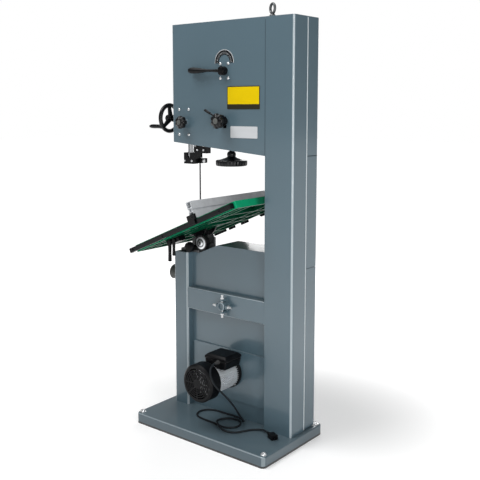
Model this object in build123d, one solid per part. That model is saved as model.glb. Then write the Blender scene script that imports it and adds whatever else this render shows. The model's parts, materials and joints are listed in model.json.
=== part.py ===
from build123d import *
import math
import os

# Band saw. Millimetres, +Z up, origin on the floor at the middle of the base.
# +X runs from the column to the open side, -Y is the side the operator and the doors are on.

# ---------------------------------------------------------------- driving dimensions
body_height = 2000.0
base_length = 812.0
base_width = 480.0
base_height = 53.0
base_wall = 5.0
base_corner = 22.0
anchor_spacing_x = 770.0
anchor_spacing_y = 424.0
anchor_hole_radius = 7.0
anchor_pad = 56.0

body_width = 743.0
body_shift = -12.5
column_width = 158.0
frame_depth = 110.0
spine_depth = 60.0
door_depth = 91.0
sheet = 4.0
door_sheet = 3.0
door_gap = 2.0
door_round = 8.0
edge_round = 12.0

wheel_offset = 400.0
wheel_radius = 253.0
wheel_width = 36.0
wheel_y = -108.5
tyre_thickness = 4.0
tyre_crown = 0.8
rim_thickness = 12.0
hub_radius = 38.0
hub_length = 44.0
spoke_count = 6
spoke_width = 34.0
spoke_thickness = 10.0
lower_wheel_drop = 286.0
upper_wheel_drop = 278.0
shaft_radius = 12.5
bearing_radius = 26.0
bearing_width = 15.0
running_fit = 0.05

blade_width = 12.0
blade_thickness = 0.9
blade_gap = 0.3

lower_top_z = 912.0
ledge_drop = 52.0
door_top_drop = 17.0
ledge_length = 143.0
slope_run = 123.0
upper_housing_height = 629.0
upper_bottom_rise = 50.0
panel_depth = 38.0
post_width = 94.0
post_round = 14.0
rib_height = 111.0
rib_setback = 3.0

table_rise = 132.0
table_tilt = 23.2
table_column_side = 450.0
table_outer_side = 275.0
table_front = 392.0
table_rear = 120.0
table_depth = 36.0
table_skin = 11.0
table_rim = 13.0
table_rib = 9.0
insert_radius = 40.0
insert_thickness = 5.0
insert_clearance = 0.3
blade_slot = 4.0

trunnion_radius = 62.0
trunnion_thickness = 14.0
cradle_gap = 0.3
cradle_radius = 82.0
gear_module = 2.0
sector_teeth = 94
pinion_teeth = 12
sector_thickness = 10.0
tilt_wheel_radius = 39.0

rail_side = 24.0
rail_wall = 3.0
fence_width = 30.0
fence_height = 85.0
fence_offset = 171.0
fence_lift = 0.3

post_offset = 9.25
guide_post_width = 34.0
guide_post_depth = 20.0
guide_post_y = -60.0
guide_post_top_gap = 120.0
guide_drop = 61.0
rack_module = 1.0
rack_pinion_teeth = 20
post_fit = 0.3

tension_rise = 43.0
tracking_drop = 193.0
guide_shaft_drop = 183.0
guide_shaft_y = -37.0
guide_wheel_reach = 55.0
guide_wheel_radius = 66.0
guide_rim_radius = 10.5
tension_screw_y = -53.0
carriage_travel = 22.0

motor_drop = 341.0
motor_radius = 68.0
motor_fin = 8.0
motor_length = 162.0
fan_cover_radius = 93.0
fan_cover_length = 62.0
flange_radius = 82.0
flange_length = 16.0
motor_plate_thickness = 8.0
motor_shaft_radius = 10.0
wheel_pulley_radius = 90.0
motor_pulley_radius = 35.0
belt_thickness = 6.0
belt_gap = 0.3
pulley_width = 15.0

dust_port_radius = 37.0
dust_port_wall = 2.5
dust_port_length = 50.0
dust_port_y = -55.0
dust_port_rise = 109.0

cord_radius = 4.5
hinge_radius = 6.0
hinge_pin_radius = 3.5
screw_radius = 4.0
screw_head = 7.0
screw_clearance = 0.3

# ---------------------------------------------------------------- derived places
body_left = body_shift - body_width / 2
body_right = body_left + body_width
ledge_z = lower_top_z - ledge_drop
door_top_z = ledge_z - door_top_drop
table_z = ledge_z + table_rise
lower_wheel_z = lower_top_z - lower_wheel_drop
motor_z = lower_wheel_z - motor_drop
dust_port_z = lower_wheel_z + dust_port_rise
ledge_x = body_right - ledge_length
slope_x = ledge_x - slope_run
upper_bottom_column_z = body_height - upper_housing_height
upper_bottom_outer_z = upper_bottom_column_z + upper_bottom_rise
upper_wheel_z = body_height - upper_wheel_drop
tension_z = upper_wheel_z + tension_rise
tracking_z = upper_wheel_z - tracking_drop
guide_shaft_z = upper_wheel_z - guide_shaft_drop
guide_post_top = body_height - guide_post_top_gap
guide_bottom_z = upper_bottom_column_z - guide_drop
guide_wheel_x = body_right + guide_wheel_reach
column_right = body_left + column_width
wheel_x = body_left + wheel_offset
blade_x = wheel_x + wheel_radius + blade_gap + blade_thickness / 2
post_x = blade_x + post_offset
blade_back = wheel_y + blade_width / 2
blade_front = wheel_y - blade_width / 2
return_x = 2 * wheel_x - blade_x
seam_y = -frame_depth
door_back = seam_y - door_gap
door_front = seam_y - door_depth
post_left = body_right - post_width
rib_low = lower_wheel_z - rib_height / 2
rib_high = lower_wheel_z + rib_height / 2
rib_face = -rib_setback
panel_back = -panel_depth
bottom_slope = (upper_bottom_outer_z - upper_bottom_column_z) / (body_right - column_right)
hinge_x = body_right + 8.0
hinge_y = seam_y - 1.0


# ---------------------------------------------------------------- small helpers
def block(x0, x1, y0, y1, z0, z1):
    """A box between two corners."""
    return Pos((x0 + x1) / 2, (y0 + y1) / 2, (z0 + z1) / 2) * Box(x1 - x0, y1 - y0, z1 - z0)


def rod(axis, radius, start, end, a, b):
    """A cylinder along one axis; a and b are its other two coordinates, in order."""
    solid = Cylinder(radius, end - start)
    middle = (start + end) / 2
    if axis == "x":
        return Pos(middle, a, b) * Rot(0, 90, 0) * solid
    if axis == "y":
        return Pos(a, middle, b) * Rot(90, 0, 0) * solid
    return Pos(a, b, middle) * solid


def tube(axis, outer, inner, start, end, a, b):
    return rod(axis, outer, start, end, a, b) - rod(axis, inner, start - 1, end + 1, a, b)


def hex_rod(axis, across, start, end, a, b):
    """A hexagonal bar, across flats."""
    solid = Pos(0, 0, -(end - start) / 2) * extrude(
        RegularPolygon(across / 2, 6, major_radius=False), end - start)
    middle = (start + end) / 2
    if axis == "x":
        return Pos(middle, a, b) * Rot(0, 90, 0) * solid
    if axis == "y":
        return Pos(a, middle, b) * Rot(90, 0, 0) * solid
    return Pos(a, b, middle) * solid


def slab_xz(points, y0, y1):
    """A flat outline in the XZ plane, made thick from y0 to y1."""
    face = make_face(Polyline(*[(x, 0, z) for x, z in points], close=True))
    return Pos(0, y0, 0) * extrude(face, y1 - y0, dir=(0, 1, 0))


def slab_yz(points, x0, x1):
    face = make_face(Polyline(*[(0, y, z) for y, z in points], close=True))
    return Pos(x0, 0, 0) * extrude(face, x1 - x0, dir=(1, 0, 0))


def turned(profile, x, y, z, axis="z"):
    """A turned piece from (radius, height) points, standing at a place along an axis."""
    face = make_face(Polyline(*[(r, 0, h) for r, h in profile], close=True))
    solid = revolve(face, Axis.Z)
    if axis == "y":
        solid = Rot(-90, 0, 0) * solid
    if axis == "x":
        solid = Rot(0, 90, 0) * solid
    return Pos(x, y, z) * solid


def fuse(parts):
    result = parts[0]
    for piece in parts[1:]:
        result = result + piece
    return result


def cut(shape, tools):
    for tool in tools:
        shape = shape - tool
    return shape


def edges_at(shape, axis, x=None, y=None, z=None, near=0.6):
    """Edges along an axis whose middles have the given coordinates."""
    found = []
    for edge in shape.edges().filter_by(axis):
        middle = edge.center()
        if x is not None and abs(middle.X - x) > near:
            continue
        if y is not None and abs(middle.Y - y) > near:
            continue
        if z is not None and abs(middle.Z - z) > near:
            continue
        found.append(edge)
    return found


def rounded(shape, radius, axis, **place):
    chosen = edges_at(shape, axis, **place)
    return fillet(chosen, radius) if chosen else shape


def in_table(shape):
    """Moves a shape from the table's own frame (pivot at its top, level) to its place."""
    return Pos(blade_x, 0, table_z) * Rot(0, table_tilt, 0) * shape


def gear_outline(teeth, module, start_angle, end_angle, phase=0.0, thin=0.0):
    """Points of a tooth ring, angles in degrees, anticlockwise."""
    pitch_radius = module * teeth / 2
    tip, root = pitch_radius + 0.9 * module, pitch_radius - 1.2 * module
    step = 360.0 / teeth
    points = []
    first = math.ceil((start_angle - phase) / step)
    last = math.floor((end_angle - phase) / step)
    for index in range(first, last + 1):
        middle = phase + index * step
        for offset, radius in ((-0.36, root), (-0.17, tip), (0.17, tip), (0.36, root)):
            angle = math.radians(middle + offset * step * (1 - thin))
            points.append((radius * math.cos(angle), radius * math.sin(angle)))
    return points


def lobed_knob(radius, depth, lobes, y0, x, z, bore):
    """A knob with lobes, its axis along Y."""
    body = rod("y", radius * 0.78, y0, y0 + depth, x, z)
    for index in range(lobes):
        angle = 2 * math.pi * index / lobes
        lobe_x = x + 0.66 * radius * math.cos(angle)
        lobe_z = z + 0.66 * radius * math.sin(angle)
        body = body + rod("y", 0.34 * radius, y0, y0 + depth * 0.8, lobe_x, lobe_z)
    body = body + rod("y", radius * 0.4, y0 - 0.15 * depth, y0, x, z)
    return body - rod("y", bore, y0 - depth, y0 + depth * 0.5, x, z)


def screw_y(x, z, face, grip, head_radius=screw_head, shank=screw_radius):
    """A dome-headed screw pushed in from the back, head on the face."""
    head = turned([(0, 0), (head_radius, 0), (head_radius, 2.0), (head_radius * 0.6, 4.5), (0, 5.0)],
                  x, face, z, "y")
    return head + rod("y", shank, face - grip, face, x, z)


# ---------------------------------------------------------------- frame
def make_base_plate():
    half_x, half_y = base_length / 2, base_width / 2
    outer = block(-half_x, half_x, -half_y, half_y, 0, base_height)
    outer = fillet(outer.edges().filter_by(Axis.Z), base_corner)
    outer = fillet(outer.faces().sort_by(Axis.Z)[-1].edges(), 7.0)
    inner = block(-half_x + base_wall, half_x - base_wall, -half_y + base_wall, half_y - base_wall,
                  -1, base_height - base_wall)
    for sx in (-1, 1):
        for sy in (-1, 1):
            pad_x, pad_y = sx * anchor_spacing_x / 2, sy * anchor_spacing_y / 2
            inner = inner - block(pad_x - anchor_pad / 2, pad_x + anchor_pad / 2,
                                  pad_y - anchor_pad / 2, pad_y + anchor_pad / 2, -2, base_height)
    for rib_x in (column_right, post_left):
        inner = inner - block(rib_x - base_wall / 2, rib_x + base_wall / 2, -half_y, half_y,
                              base_height / 3, base_height)
    plate = outer - inner
    for x, y in anchor_places():
        plate = plate - rod("z", anchor_hole_radius, -1, base_height + 1, x, y)
    for x, y in frame_bolt_places():
        plate = plate - rod("z", frame_bolt_radius + screw_clearance, 0, base_height + 1, x, y)
    return plate


def anchor_places():
    return [(sx * anchor_spacing_x / 2, sy * anchor_spacing_y / 2) for sx in (-1, 1) for sy in (-1, 1)]


frame_bolt_radius = 6.0


def frame_bolt_places():
    lower_x = (column_right + 46, wheel_x, post_left + 40)
    return [(x, -60.0) for x in lower_x] + [(body_left + 45, -30.0), (body_left + 115, -30.0)]


def make_frame_bolts():
    bolts = []
    for x, y in frame_bolt_places():
        floor = base_height + sheet
        bolt = hex_rod("z", 19.0, floor, floor + 8, x, y)
        bolt = bolt + rod("z", frame_bolt_radius, base_height - base_wall - 14, floor, x, y)
        nut_top = base_height - base_wall
        bolts.append(bolt + hex_rod("z", 19.0, nut_top - 10, nut_top, x, y))
    for x, y in bracket_bolt_places():
        head = hex_rod("z", 16.0, ledge_z + bracket_foot, ledge_z + bracket_foot + 7, x, y)
        bolts.append(head + rod("z", bracket_bolt_radius, ledge_z - sheet - 8, ledge_z + bracket_foot, x, y))
    for x, z in motor_bolt_places():
        head = hex_rod("y", 13.0, body_front, body_front + 6, x, z)
        bolts.append(head + rod("y", motor_bolt_radius, motor_front - 6, body_front, x, z))
    return Compound(bolts)


def make_column():
    outer = block(body_left, column_right, -spine_depth, 0, base_height, body_height)
    outer = rounded(outer, edge_round, Axis.Z, x=body_left, y=0)
    inner = block(body_left + sheet, column_right - sheet, -spine_depth + sheet, -sheet,
                  base_height + sheet, body_height - sheet)
    flange = block(body_left, body_left + sheet, seam_y, -spine_depth, base_height, body_height)
    cap = block(body_left, column_right, seam_y, -spine_depth, body_height - sheet, body_height)
    foot = block(body_left, column_right, seam_y, -spine_depth, base_height, base_height + sheet)
    throat_wall = block(column_right - sheet, column_right, seam_y, -spine_depth,
                        lower_top_z, upper_bottom_column_z)
    column = fuse([outer - inner, flange, cap, foot, throat_wall])
    holes = [rod("z", eye_shank + screw_clearance, body_height - 2 * sheet, body_height + 1, eye_x, eye_y)]
    for x, y in frame_bolt_places()[3:]:
        holes.append(rod("z", frame_bolt_radius + screw_clearance, base_height - 1,
                         base_height + 2 * sheet, x, y))
    return cut(column, holes)


eye_x = column_right - 18.0
eye_y = -30.0
eye_shank = 7.0
eye_ring = 21.0
eye_wire = 6.0
eye_turn = 25.0


def make_eye_bolt():
    ring_z = body_height + 12 + eye_ring + eye_wire - 3
    ring = Pos(eye_x, eye_y, ring_z) * Rot(0, 0, -eye_turn) * Rot(90, 0, 0) * Torus(eye_ring, eye_wire)
    collar = turned([(0, 0), (15, 0), (15, 5), (9, 12), (0, 12)], eye_x, eye_y, body_height)
    neck = rod("z", 7.0, body_height + 8, ring_z - eye_ring, eye_x, eye_y)
    shank = rod("z", eye_shank, body_height - 22, body_height + 1, eye_x, eye_y)
    nut = hex_rod("z", 22.0, body_height - sheet - 10, body_height - sheet, eye_x, eye_y)
    return fuse([collar, neck, shank, nut, ring])


def bottom_z(x):
    """Height of the upper housing's sloping underside."""
    return upper_bottom_column_z + bottom_slope * (x - column_right)


def make_upper_housing():
    outline = [(column_right, bottom_z(column_right)), (body_right, bottom_z(body_right)),
               (body_right, body_height), (column_right, body_height)]
    outer = slab_xz(outline, seam_y, 0)
    outer = rounded(outer, edge_round, Axis.Z, x=body_right, y=0)
    lift = sheet
    inside = [(column_right - 5, bottom_z(column_right - 5) + lift),
              (body_right - sheet, bottom_z(body_right - sheet) + lift),
              (body_right - sheet, body_height - sheet), (column_right - 5, body_height - sheet)]
    housing = outer - slab_xz(inside, seam_y - 1, -sheet)
    bush_low = tension_floor_z() + 2.5
    housing = housing + rod("z", tension_bush_radius, bush_low, tension_bush_top(), wheel_x, tension_screw_y)
    slot_low = tracking_z - carriage_travel - 12
    floor_z = tension_floor_z()
    holes = [
        rod("y", tension_hub + screw_clearance, -10, 5, wheel_x, tension_z),
        block(wheel_x - 12, wheel_x + 12, -10, 5, slot_low, tracking_z + 12),
        rod("y", lock_screw_radius + 1.0, -10, 5, lock_screw_x, lock_screw_z),
        rod("x", guide_bush_radius, body_right - 10, body_right + 5, guide_shaft_y, guide_shaft_z),
        block(blade_x - 10, post_x + 30, seam_y - 1, -40, bottom_z(post_x) - 40, bottom_z(post_x) + 30),
        rod("z", tension_screw_radius + running_fit, floor_z - 30, floor_z + 30, wheel_x, tension_screw_y)]
    for x, z in panel_screw_places():
        holes.append(rod("y", screw_radius + screw_clearance, -10, 5, x, z))
    return cut(housing, holes)


def tension_floor_z():
    return bottom_z(wheel_x)


def tension_bush_top():
    return tension_floor_z() + sheet + 5.0


def panel_screw_places():
    tension = [(wheel_x + sx * 24, tension_z + sz * 34) for sx in (-1, 1) for sz in (-1, 1)]
    guide = [(post_x + sx * 32, guide_shaft_z - 18 + sz * 62) for sx in (-1, 1) for sz in (-1, 1)]
    return tension + guide


def make_panel_screws():
    grip = sheet + 4
    return Compound([screw_y(x, z, 0, grip) for x, z in panel_screw_places()] + radial_screws())


def lower_outline(inset, extra=0.0):
    """Outline of the lower housing in the XZ plane, moved in by a wall."""
    slope = (lower_top_z - ledge_z) / (ledge_x - slope_x)
    drop = inset * (math.sqrt(1 + slope * slope) - slope)
    left = column_right - extra
    return [(left, base_height + inset), (body_right - inset, base_height + inset),
            (body_right - inset, ledge_z - inset - 12 + inset * 0.4),
            (body_right - 15 - inset * 0.6, ledge_z - inset),
            (ledge_x - inset * 0.2, ledge_z - inset),
            (slope_x + (inset - drop) / slope if inset else slope_x, lower_top_z - inset),
            (left, lower_top_z - inset)]


def make_lower_housing():
    outer = slab_xz(lower_outline(0), seam_y, panel_back)
    inner = slab_xz(lower_outline(sheet, 5), seam_y - 1, panel_back - sheet)
    post_outer = block(post_left, body_right, seam_y, 0, base_height, body_height)
    post_outer = rounded(post_outer, post_round, Axis.Z, x=post_left, y=0)
    post_outer = rounded(post_outer, edge_round, Axis.Z, x=body_right, y=0)
    post_outer = post_outer & slab_xz(lower_outline(0), seam_y, 0)
    post_inner = block(post_left + sheet, body_right - sheet, seam_y - 1, -sheet, 0, body_height)
    post_inner = post_inner & slab_xz(lower_outline(sheet), seam_y - 1, 0)
    housing = (outer + post_outer) - inner - post_inner
    blade_cut = block(blade_x - 8, blade_x + 8, seam_y - 1, blade_back + 8, ledge_z - 30, ledge_z + 5)
    bracket_holes = [rod("z", bracket_bolt_radius + screw_clearance, ledge_z - 10, ledge_z + 5, x, y)
                     for x, y in bracket_bolt_places()]
    shaft_hole = rod("y", shaft_radius + 1, panel_back - 20, panel_back + 20, wheel_x, lower_wheel_z)
    motor_hole = rod("y", motor_shaft_radius + 12, panel_back - 20, panel_back + 5, wheel_x, motor_z)
    port_hole = rod("x", dust_port_radius - dust_port_wall, body_right - 20, body_right + 5,
                    dust_port_y, dust_port_z)
    holes = [blade_cut, shaft_hole, motor_hole, port_hole] + bracket_holes
    for x, y in frame_bolt_places()[:3]:
        holes.append(rod("z", frame_bolt_radius + screw_clearance, base_height - 1,
                         base_height + 2 * sheet, x, y))
    return cut(housing, holes)


def make_cross_rib():
    outer = block(column_right, post_left, panel_back, rib_face, rib_low, rib_high)
    outer = fillet(edges_at(outer, Axis.X, y=rib_face), 5.0)
    inner = block(column_right + sheet, post_left - sheet, panel_back - 1, rib_face - sheet,
                  rib_low + sheet, rib_high - sheet)
    rib = outer - inner
    return rib - rod("y", shaft_radius + 1, panel_back, 5, wheel_x, lower_wheel_z)


mount_hub_radius = 21.0
mount_hub_end = 34.0
mount_flange = 31.0
radial_screw_y = 20.0


def shaft_mount():
    """Block that holds the lower shaft, with four radial adjusting screws."""
    flange = rod("y", mount_flange, rib_face, rib_face + 9, wheel_x, lower_wheel_z)
    hub = rod("y", mount_hub_radius, rib_face, mount_hub_end, wheel_x, lower_wheel_z)
    hub = fillet(hub.edges().sort_by(Axis.Y)[-1], 3.0)
    mount = flange + hub
    for angle in (0, 90, 180, 270):
        lug = block(26, 36, rib_face, radial_screw_y + 9, -8, 8)
        foot = block(mount_hub_radius - 4, 36, rib_face, rib_face + 9, -8, 8)
        mount = mount + Pos(wheel_x, 0, lower_wheel_z) * Rot(0, angle, 0) * (lug + foot)
        hole = rod("x", radial_screw_radius + screw_clearance, shaft_radius - 1, 60, radial_screw_y, 0)
        mount = mount - Pos(wheel_x, 0, lower_wheel_z) * Rot(0, angle, 0) * hole
    return mount - rod("y", shaft_radius + running_fit, -50, 50, wheel_x, lower_wheel_z)


radial_screw_radius = 5.0


def radial_screws():
    screws = []
    for angle in (0, 90, 180, 270):
        stud = rod("x", radial_screw_radius, shaft_radius + 0.3, 56, radial_screw_y, 0)
        nut = hex_rod("x", 16.0, 36.2, 43, radial_screw_y, 0)
        head = hex_rod("x", 11.0, 50, 57, radial_screw_y, 0)
        screws.append(Pos(wheel_x, 0, lower_wheel_z) * Rot(0, angle, 0) * fuse([stud, nut, head]))
    return screws


# ---------------------------------------------------------------- doors and cover
def front_shell(outline, inset_outline, back, front):
    """A pressed cover, open at the back, with a rounded front edge."""
    outer = slab_xz(outline, front, back)
    outer = fillet(outer.faces().sort_by(Axis.Y)[0].edges(), door_round)
    return outer - slab_xz(inset_outline, front + door_sheet, back + 1)


def make_upper_door():
    low, d = door_gap, door_sheet
    line = [(body_left, bottom_z(column_right) + low), (column_right, bottom_z(column_right) + low),
            (body_right, bottom_z(body_right) + low), (body_right, body_height),
            (body_left, body_height)]
    inside = [(body_left + d, line[0][1] + d), (column_right, line[1][1] + d),
              (body_right - d, line[2][1] + d), (body_right - d, body_height - d),
              (body_left + d, body_height - d)]
    door = front_shell(line, inside, door_back, door_front)
    blade_cut = block(blade_x - 14, blade_x + 30, wheel_y - 34, door_back + 1,
                      bottom_z(blade_x) - 20, bottom_z(blade_x) + 20)
    return_cut = block(return_x - 9, return_x + 9, wheel_y - 24, door_back + 1,
                       bottom_z(column_right) - 20, bottom_z(column_right) + 20)
    stud = rod("y", latch_stud + 0.5, door_front - 5, door_front + 10, latch_x, upper_latch_z)
    door = cut(door, [blade_cut, return_cut, stud])
    return Compound([door] + hinge_halves(upper_hinge_levels, True))


def make_lower_door():
    d = door_sheet
    bottom = base_height + door_gap + 2
    line = [(body_left, bottom), (body_right, bottom), (body_right, door_top_z), (body_left, door_top_z)]
    inside = [(body_left + d, bottom + d), (body_right - d, bottom + d),
              (body_right - d, door_top_z - d), (body_left + d, door_top_z - d)]
    door = front_shell(line, inside, door_back, door_front)
    wheel_cut = block(return_x - 10, blade_x + 14, wheel_y - wheel_width / 2 - 6, door_back + 1,
                      door_top_z - 20, door_top_z + 20)
    stud = rod("y", latch_stud + 0.5, door_front - 5, door_front + 10, latch_x, lower_latch_z)
    door = cut(door, [wheel_cut, stud])
    return Compound([door] + hinge_halves(lower_hinge_levels, True))


def make_column_cover():
    """Fixed cover over the returning blade and the top of the lower wheel."""
    low = door_top_z + door_gap
    top = bottom_z(column_right) - door_gap
    line = [(body_left, low), (body_right, low), (body_right, ledge_z - 12), (body_right - 15, ledge_z),
            (ledge_x, ledge_z), (slope_x, lower_top_z), (column_right, lower_top_z),
            (column_right, top), (body_left, top)]
    d = door_sheet
    inside = [(body_left + d, low - 30), (body_right - d, low - 30), (body_right - d, ledge_z - 12 - d),
              (body_right - 16, ledge_z - d), (ledge_x, ledge_z - d), (slope_x, lower_top_z - d),
              (column_right - d, lower_top_z - d), (column_right - d, top + 30), (body_left + d, top + 30)]
    outer = slab_xz(line, door_front, seam_y)
    long_edges = edges_at(outer, Axis.Z, y=door_front)
    outer = fillet(long_edges, door_round)
    cover = outer - slab_xz(inside, door_front + d, seam_y + 1)
    blade_cut = block(blade_x - 8, blade_x + 14, wheel_y - 24, seam_y + 1, ledge_z - 20, ledge_z + 20)
    return cover - blade_cut


latch_x = body_left + 50.0
latch_stud = 5.0
upper_latch_z = upper_wheel_z - 32.0
lower_latch_z = lower_wheel_z - 176.0
keeper_y = -98.0


def make_latch_knob(z):
    knob = turned([(0, 0), (13, 0), (13, 10), (22, 14), (23, 22), (19, 30), (0, 32)], 0, 0, 0)
    knob = Pos(latch_x, door_front - 0.3, z) * Rot(90, 0, 0) * knob
    return knob + rod("y", latch_stud, door_front - 12, keeper_y + 8, latch_x, z)


def latch_keepers():
    keepers = []
    for z in (upper_latch_z, lower_latch_z):
        plate = block(body_left + sheet, latch_x + 16, keeper_y, keeper_y + 3, z - 16, z + 16)
        leg = block(body_left + sheet, body_left + sheet + 3, keeper_y, keeper_y + 26, z - 16, z + 16)
        keepers.append((plate + leg) - rod("y", latch_stud + 0.5, keeper_y - 5, keeper_y + 9, latch_x, z))
    return keepers


upper_hinge_levels = (upper_bottom_outer_z + 31.0, body_height - 120.0)
lower_hinge_levels = (base_height + 107.0, lower_wheel_z - 66.0)
hinge_height = 60.0


def hinge_half(z, on_door):
    """One leaf with its knuckle; the fixed half also carries the pin."""
    knuckle_low, knuckle_high = (z + 0.3, z + hinge_height / 2) if on_door else (z - hinge_height / 2, z)
    knuckle = rod("z", hinge_radius, knuckle_low, knuckle_high, hinge_x, hinge_y)
    low, high = z - hinge_height / 2, z + hinge_height / 2
    if on_door:
        leaf = block(body_right, body_right + 2.5, hinge_y - 44, hinge_y - 3, low, high)
        web = block(body_right, hinge_x, hinge_y - 6, hinge_y - 3, knuckle_low, knuckle_high)
        bore = rod("z", hinge_pin_radius + running_fit, low, high + 1, hinge_x, hinge_y)
        return (leaf + web + knuckle) - bore
    leaf = block(body_right, body_right + 2.5, hinge_y + 3, hinge_y + 38, low, high)
    web = block(body_right, hinge_x, hinge_y + 3, hinge_y + 6, knuckle_low, knuckle_high)
    pin = rod("z", hinge_pin_radius, knuckle_low, high + 3, hinge_x, hinge_y)
    return leaf + web + knuckle + pin


def hinge_halves(levels, on_door):
    return [hinge_half(z, on_door) for z in levels]


def make_door_fittings():
    """Fixed hinge halves and latch keepers."""
    return Compound(hinge_halves(upper_hinge_levels + lower_hinge_levels, False) + latch_keepers())


# ---------------------------------------------------------------- wheels, blade, drive
def wheel_casting(z):
    half = wheel_width / 2
    rim_outer = wheel_radius - tyre_thickness
    rim = tube("y", rim_outer, rim_outer - rim_thickness, wheel_y - half, wheel_y + half, wheel_x, z)
    hub = rod("y", hub_radius, wheel_y - hub_length / 2, wheel_y + hub_length / 2, wheel_x, z)
    wheel = rim + hub
    reach = rim_outer - rim_thickness + 3
    for index in range(spoke_count):
        spoke = block(hub_radius - 6, reach, wheel_y - spoke_thickness / 2, wheel_y + spoke_thickness / 2,
                      -spoke_width / 2, spoke_width / 2)
        rib = block(hub_radius - 6, reach, wheel_y - 13, wheel_y + 13, -4, 4)
        turn = 360.0 * index / spoke_count + 15
        wheel = wheel + Pos(wheel_x, 0, z) * Rot(0, turn, 0) * (spoke + rib)
    bore = rod("y", bearing_radius, wheel_y - 60, wheel_y + 60, wheel_x, z)
    return wheel - bore


def tyre(z):
    half = wheel_width / 2
    inner = wheel_radius - tyre_thickness
    edge = wheel_radius - tyre_crown
    profile = [(inner, -half), (edge - 0.6, -half), (edge, -half + 0.8), (wheel_radius, -half / 3),
               (wheel_radius, half / 3), (edge, half - 0.8), (edge - 0.6, half), (inner, half)]
    return turned(profile, wheel_x, wheel_y, z, "y")


def bearings(z):
    rings = []
    for side in (-1, 1):
        middle = wheel_y + side * (hub_length / 2 - bearing_width / 2 - 1)
        low, high = middle - bearing_width / 2, middle + bearing_width / 2
        ring = tube("y", bearing_radius, shaft_radius + running_fit, low, high, wheel_x, z)
        groove = tube("y", bearing_radius - 4, shaft_radius + 4, high - 1.5, high + 1, wheel_x, z)
        back_groove = tube("y", bearing_radius - 4, shaft_radius + 4, low - 1, low + 1.5, wheel_x, z)
        rings.append(ring - groove - back_groove)
    return rings


def make_wheel(z):
    """Wheel casting, rubber tyre and its two bearings."""
    return Compound([wheel_casting(z), tyre(z)] + bearings(z))




def shaft_end_cap(z):
    """Washer and bolt that keep a wheel on its shaft."""
    face = wheel_y - hub_length / 2
    washer = rod("y", shaft_radius + 5, face - 5, face - 0.3, wheel_x, z)
    return washer + hex_rod("y", 19.0, face - 13, face - 5, wheel_x, z)


def lower_shaft():
    shaft = rod("y", shaft_radius, wheel_y - hub_length / 2 - 1, mount_hub_end - 6, wheel_x, lower_wheel_z)
    collar = tube("y", shaft_radius + 6, shaft_radius, panel_back - sheet - 12, panel_back - sheet,
                  wheel_x, lower_wheel_z)
    return fuse([shaft, shaft_end_cap(lower_wheel_z), collar])


def make_lower_shaft_mount():
    return Compound([shaft_mount(), lower_shaft()])


def make_blade():
    """The blade as a closed band round both wheels; its toothed edge faces the operator."""
    inner = wheel_radius + blade_gap
    outer = inner + blade_thickness
    ring = []
    for radius in (outer, inner):
        low = rod("y", radius, blade_front, blade_back, wheel_x, lower_wheel_z)
        high = rod("y", radius, blade_front, blade_back, wheel_x, upper_wheel_z)
        middle = block(wheel_x - radius, wheel_x + radius, blade_front, blade_back,
                       lower_wheel_z, upper_wheel_z)
        ring.append(fuse([low, high, middle]))
    return ring[0] - ring[1]


pulley_front = wheel_y + hub_length / 2
pulley_back = pulley_front + pulley_width


def pulley(radius, bore, z):
    body = rod("y", radius, pulley_front, pulley_back, wheel_x, z)
    for index in range(3):
        groove_y = pulley_front + 3.6 + 4.0 * index
        body = body - tube("y", radius + 1, radius - 1.5, groove_y - 0.9, groove_y + 0.9, wheel_x, z)
    return body - rod("y", bore, pulley_front - 1, pulley_back + 1, wheel_x, z)


def wheel_pulley():
    disc = pulley(wheel_pulley_radius, shaft_radius + 3, lower_wheel_z)
    lightening = tube("y", wheel_pulley_radius - 14, hub_radius, pulley_front + 6, pulley_back + 1,
                      wheel_x, lower_wheel_z)
    return disc - lightening


def make_lower_wheel():
    return Compound(list(make_wheel(lower_wheel_z).solids()) + [wheel_pulley()])


def motor_pulley():
    return pulley(motor_pulley_radius, motor_shaft_radius, motor_z)


def belt_loop(extra):
    """Outline area round both pulleys with the given clearance."""
    big, small = wheel_pulley_radius + extra, motor_pulley_radius + extra
    gap = lower_wheel_z - motor_z
    lean = math.asin((big - small) / gap)
    cos_l, sin_l = math.cos(lean), math.sin(lean)
    points = [(wheel_x + big * cos_l, lower_wheel_z - big * sin_l),
              (wheel_x + small * cos_l, motor_z - small * sin_l),
              (wheel_x - small * cos_l, motor_z - small * sin_l),
              (wheel_x - big * cos_l, lower_wheel_z - big * sin_l)]
    low, high = pulley_front + 1.5, pulley_back - 1.5
    return fuse([slab_xz(points, low, high), rod("y", big, low, high, wheel_x, lower_wheel_z),
                 rod("y", small, low, high, wheel_x, motor_z)])


def make_drive_belt():
    return belt_loop(belt_gap + belt_thickness) - belt_loop(belt_gap)


# ---------------------------------------------------------------- motor
motor_front = panel_back + motor_plate_thickness
body_front = motor_front + flange_length
body_back = body_front + motor_length
cover_back = body_back + fan_cover_length


motor_plate_low = 145.0
motor_plate_high = 113.0


def make_motor_plate():
    plate = block(column_right + 8, post_left - 14, panel_back, motor_front,
                  motor_z - motor_plate_low, motor_z + motor_plate_high)
    plate = fillet(plate.edges().filter_by(Axis.Y), 10.0)
    plate = plate - rod("y", motor_shaft_radius + 12, panel_back - 1, motor_front + 1, wheel_x, motor_z)
    for x, z in motor_bolt_places():
        plate = plate - rod("y", motor_bolt_radius + screw_clearance, panel_back - 1, motor_front + 1, x, z)
    return plate


motor_bolt_radius = 4.0


def motor_bolt_places():
    return [(wheel_x + 73 * math.cos(a), motor_z + 73 * math.sin(a))
            for a in (math.radians(45 + 90 * k) for k in range(4))]


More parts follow.
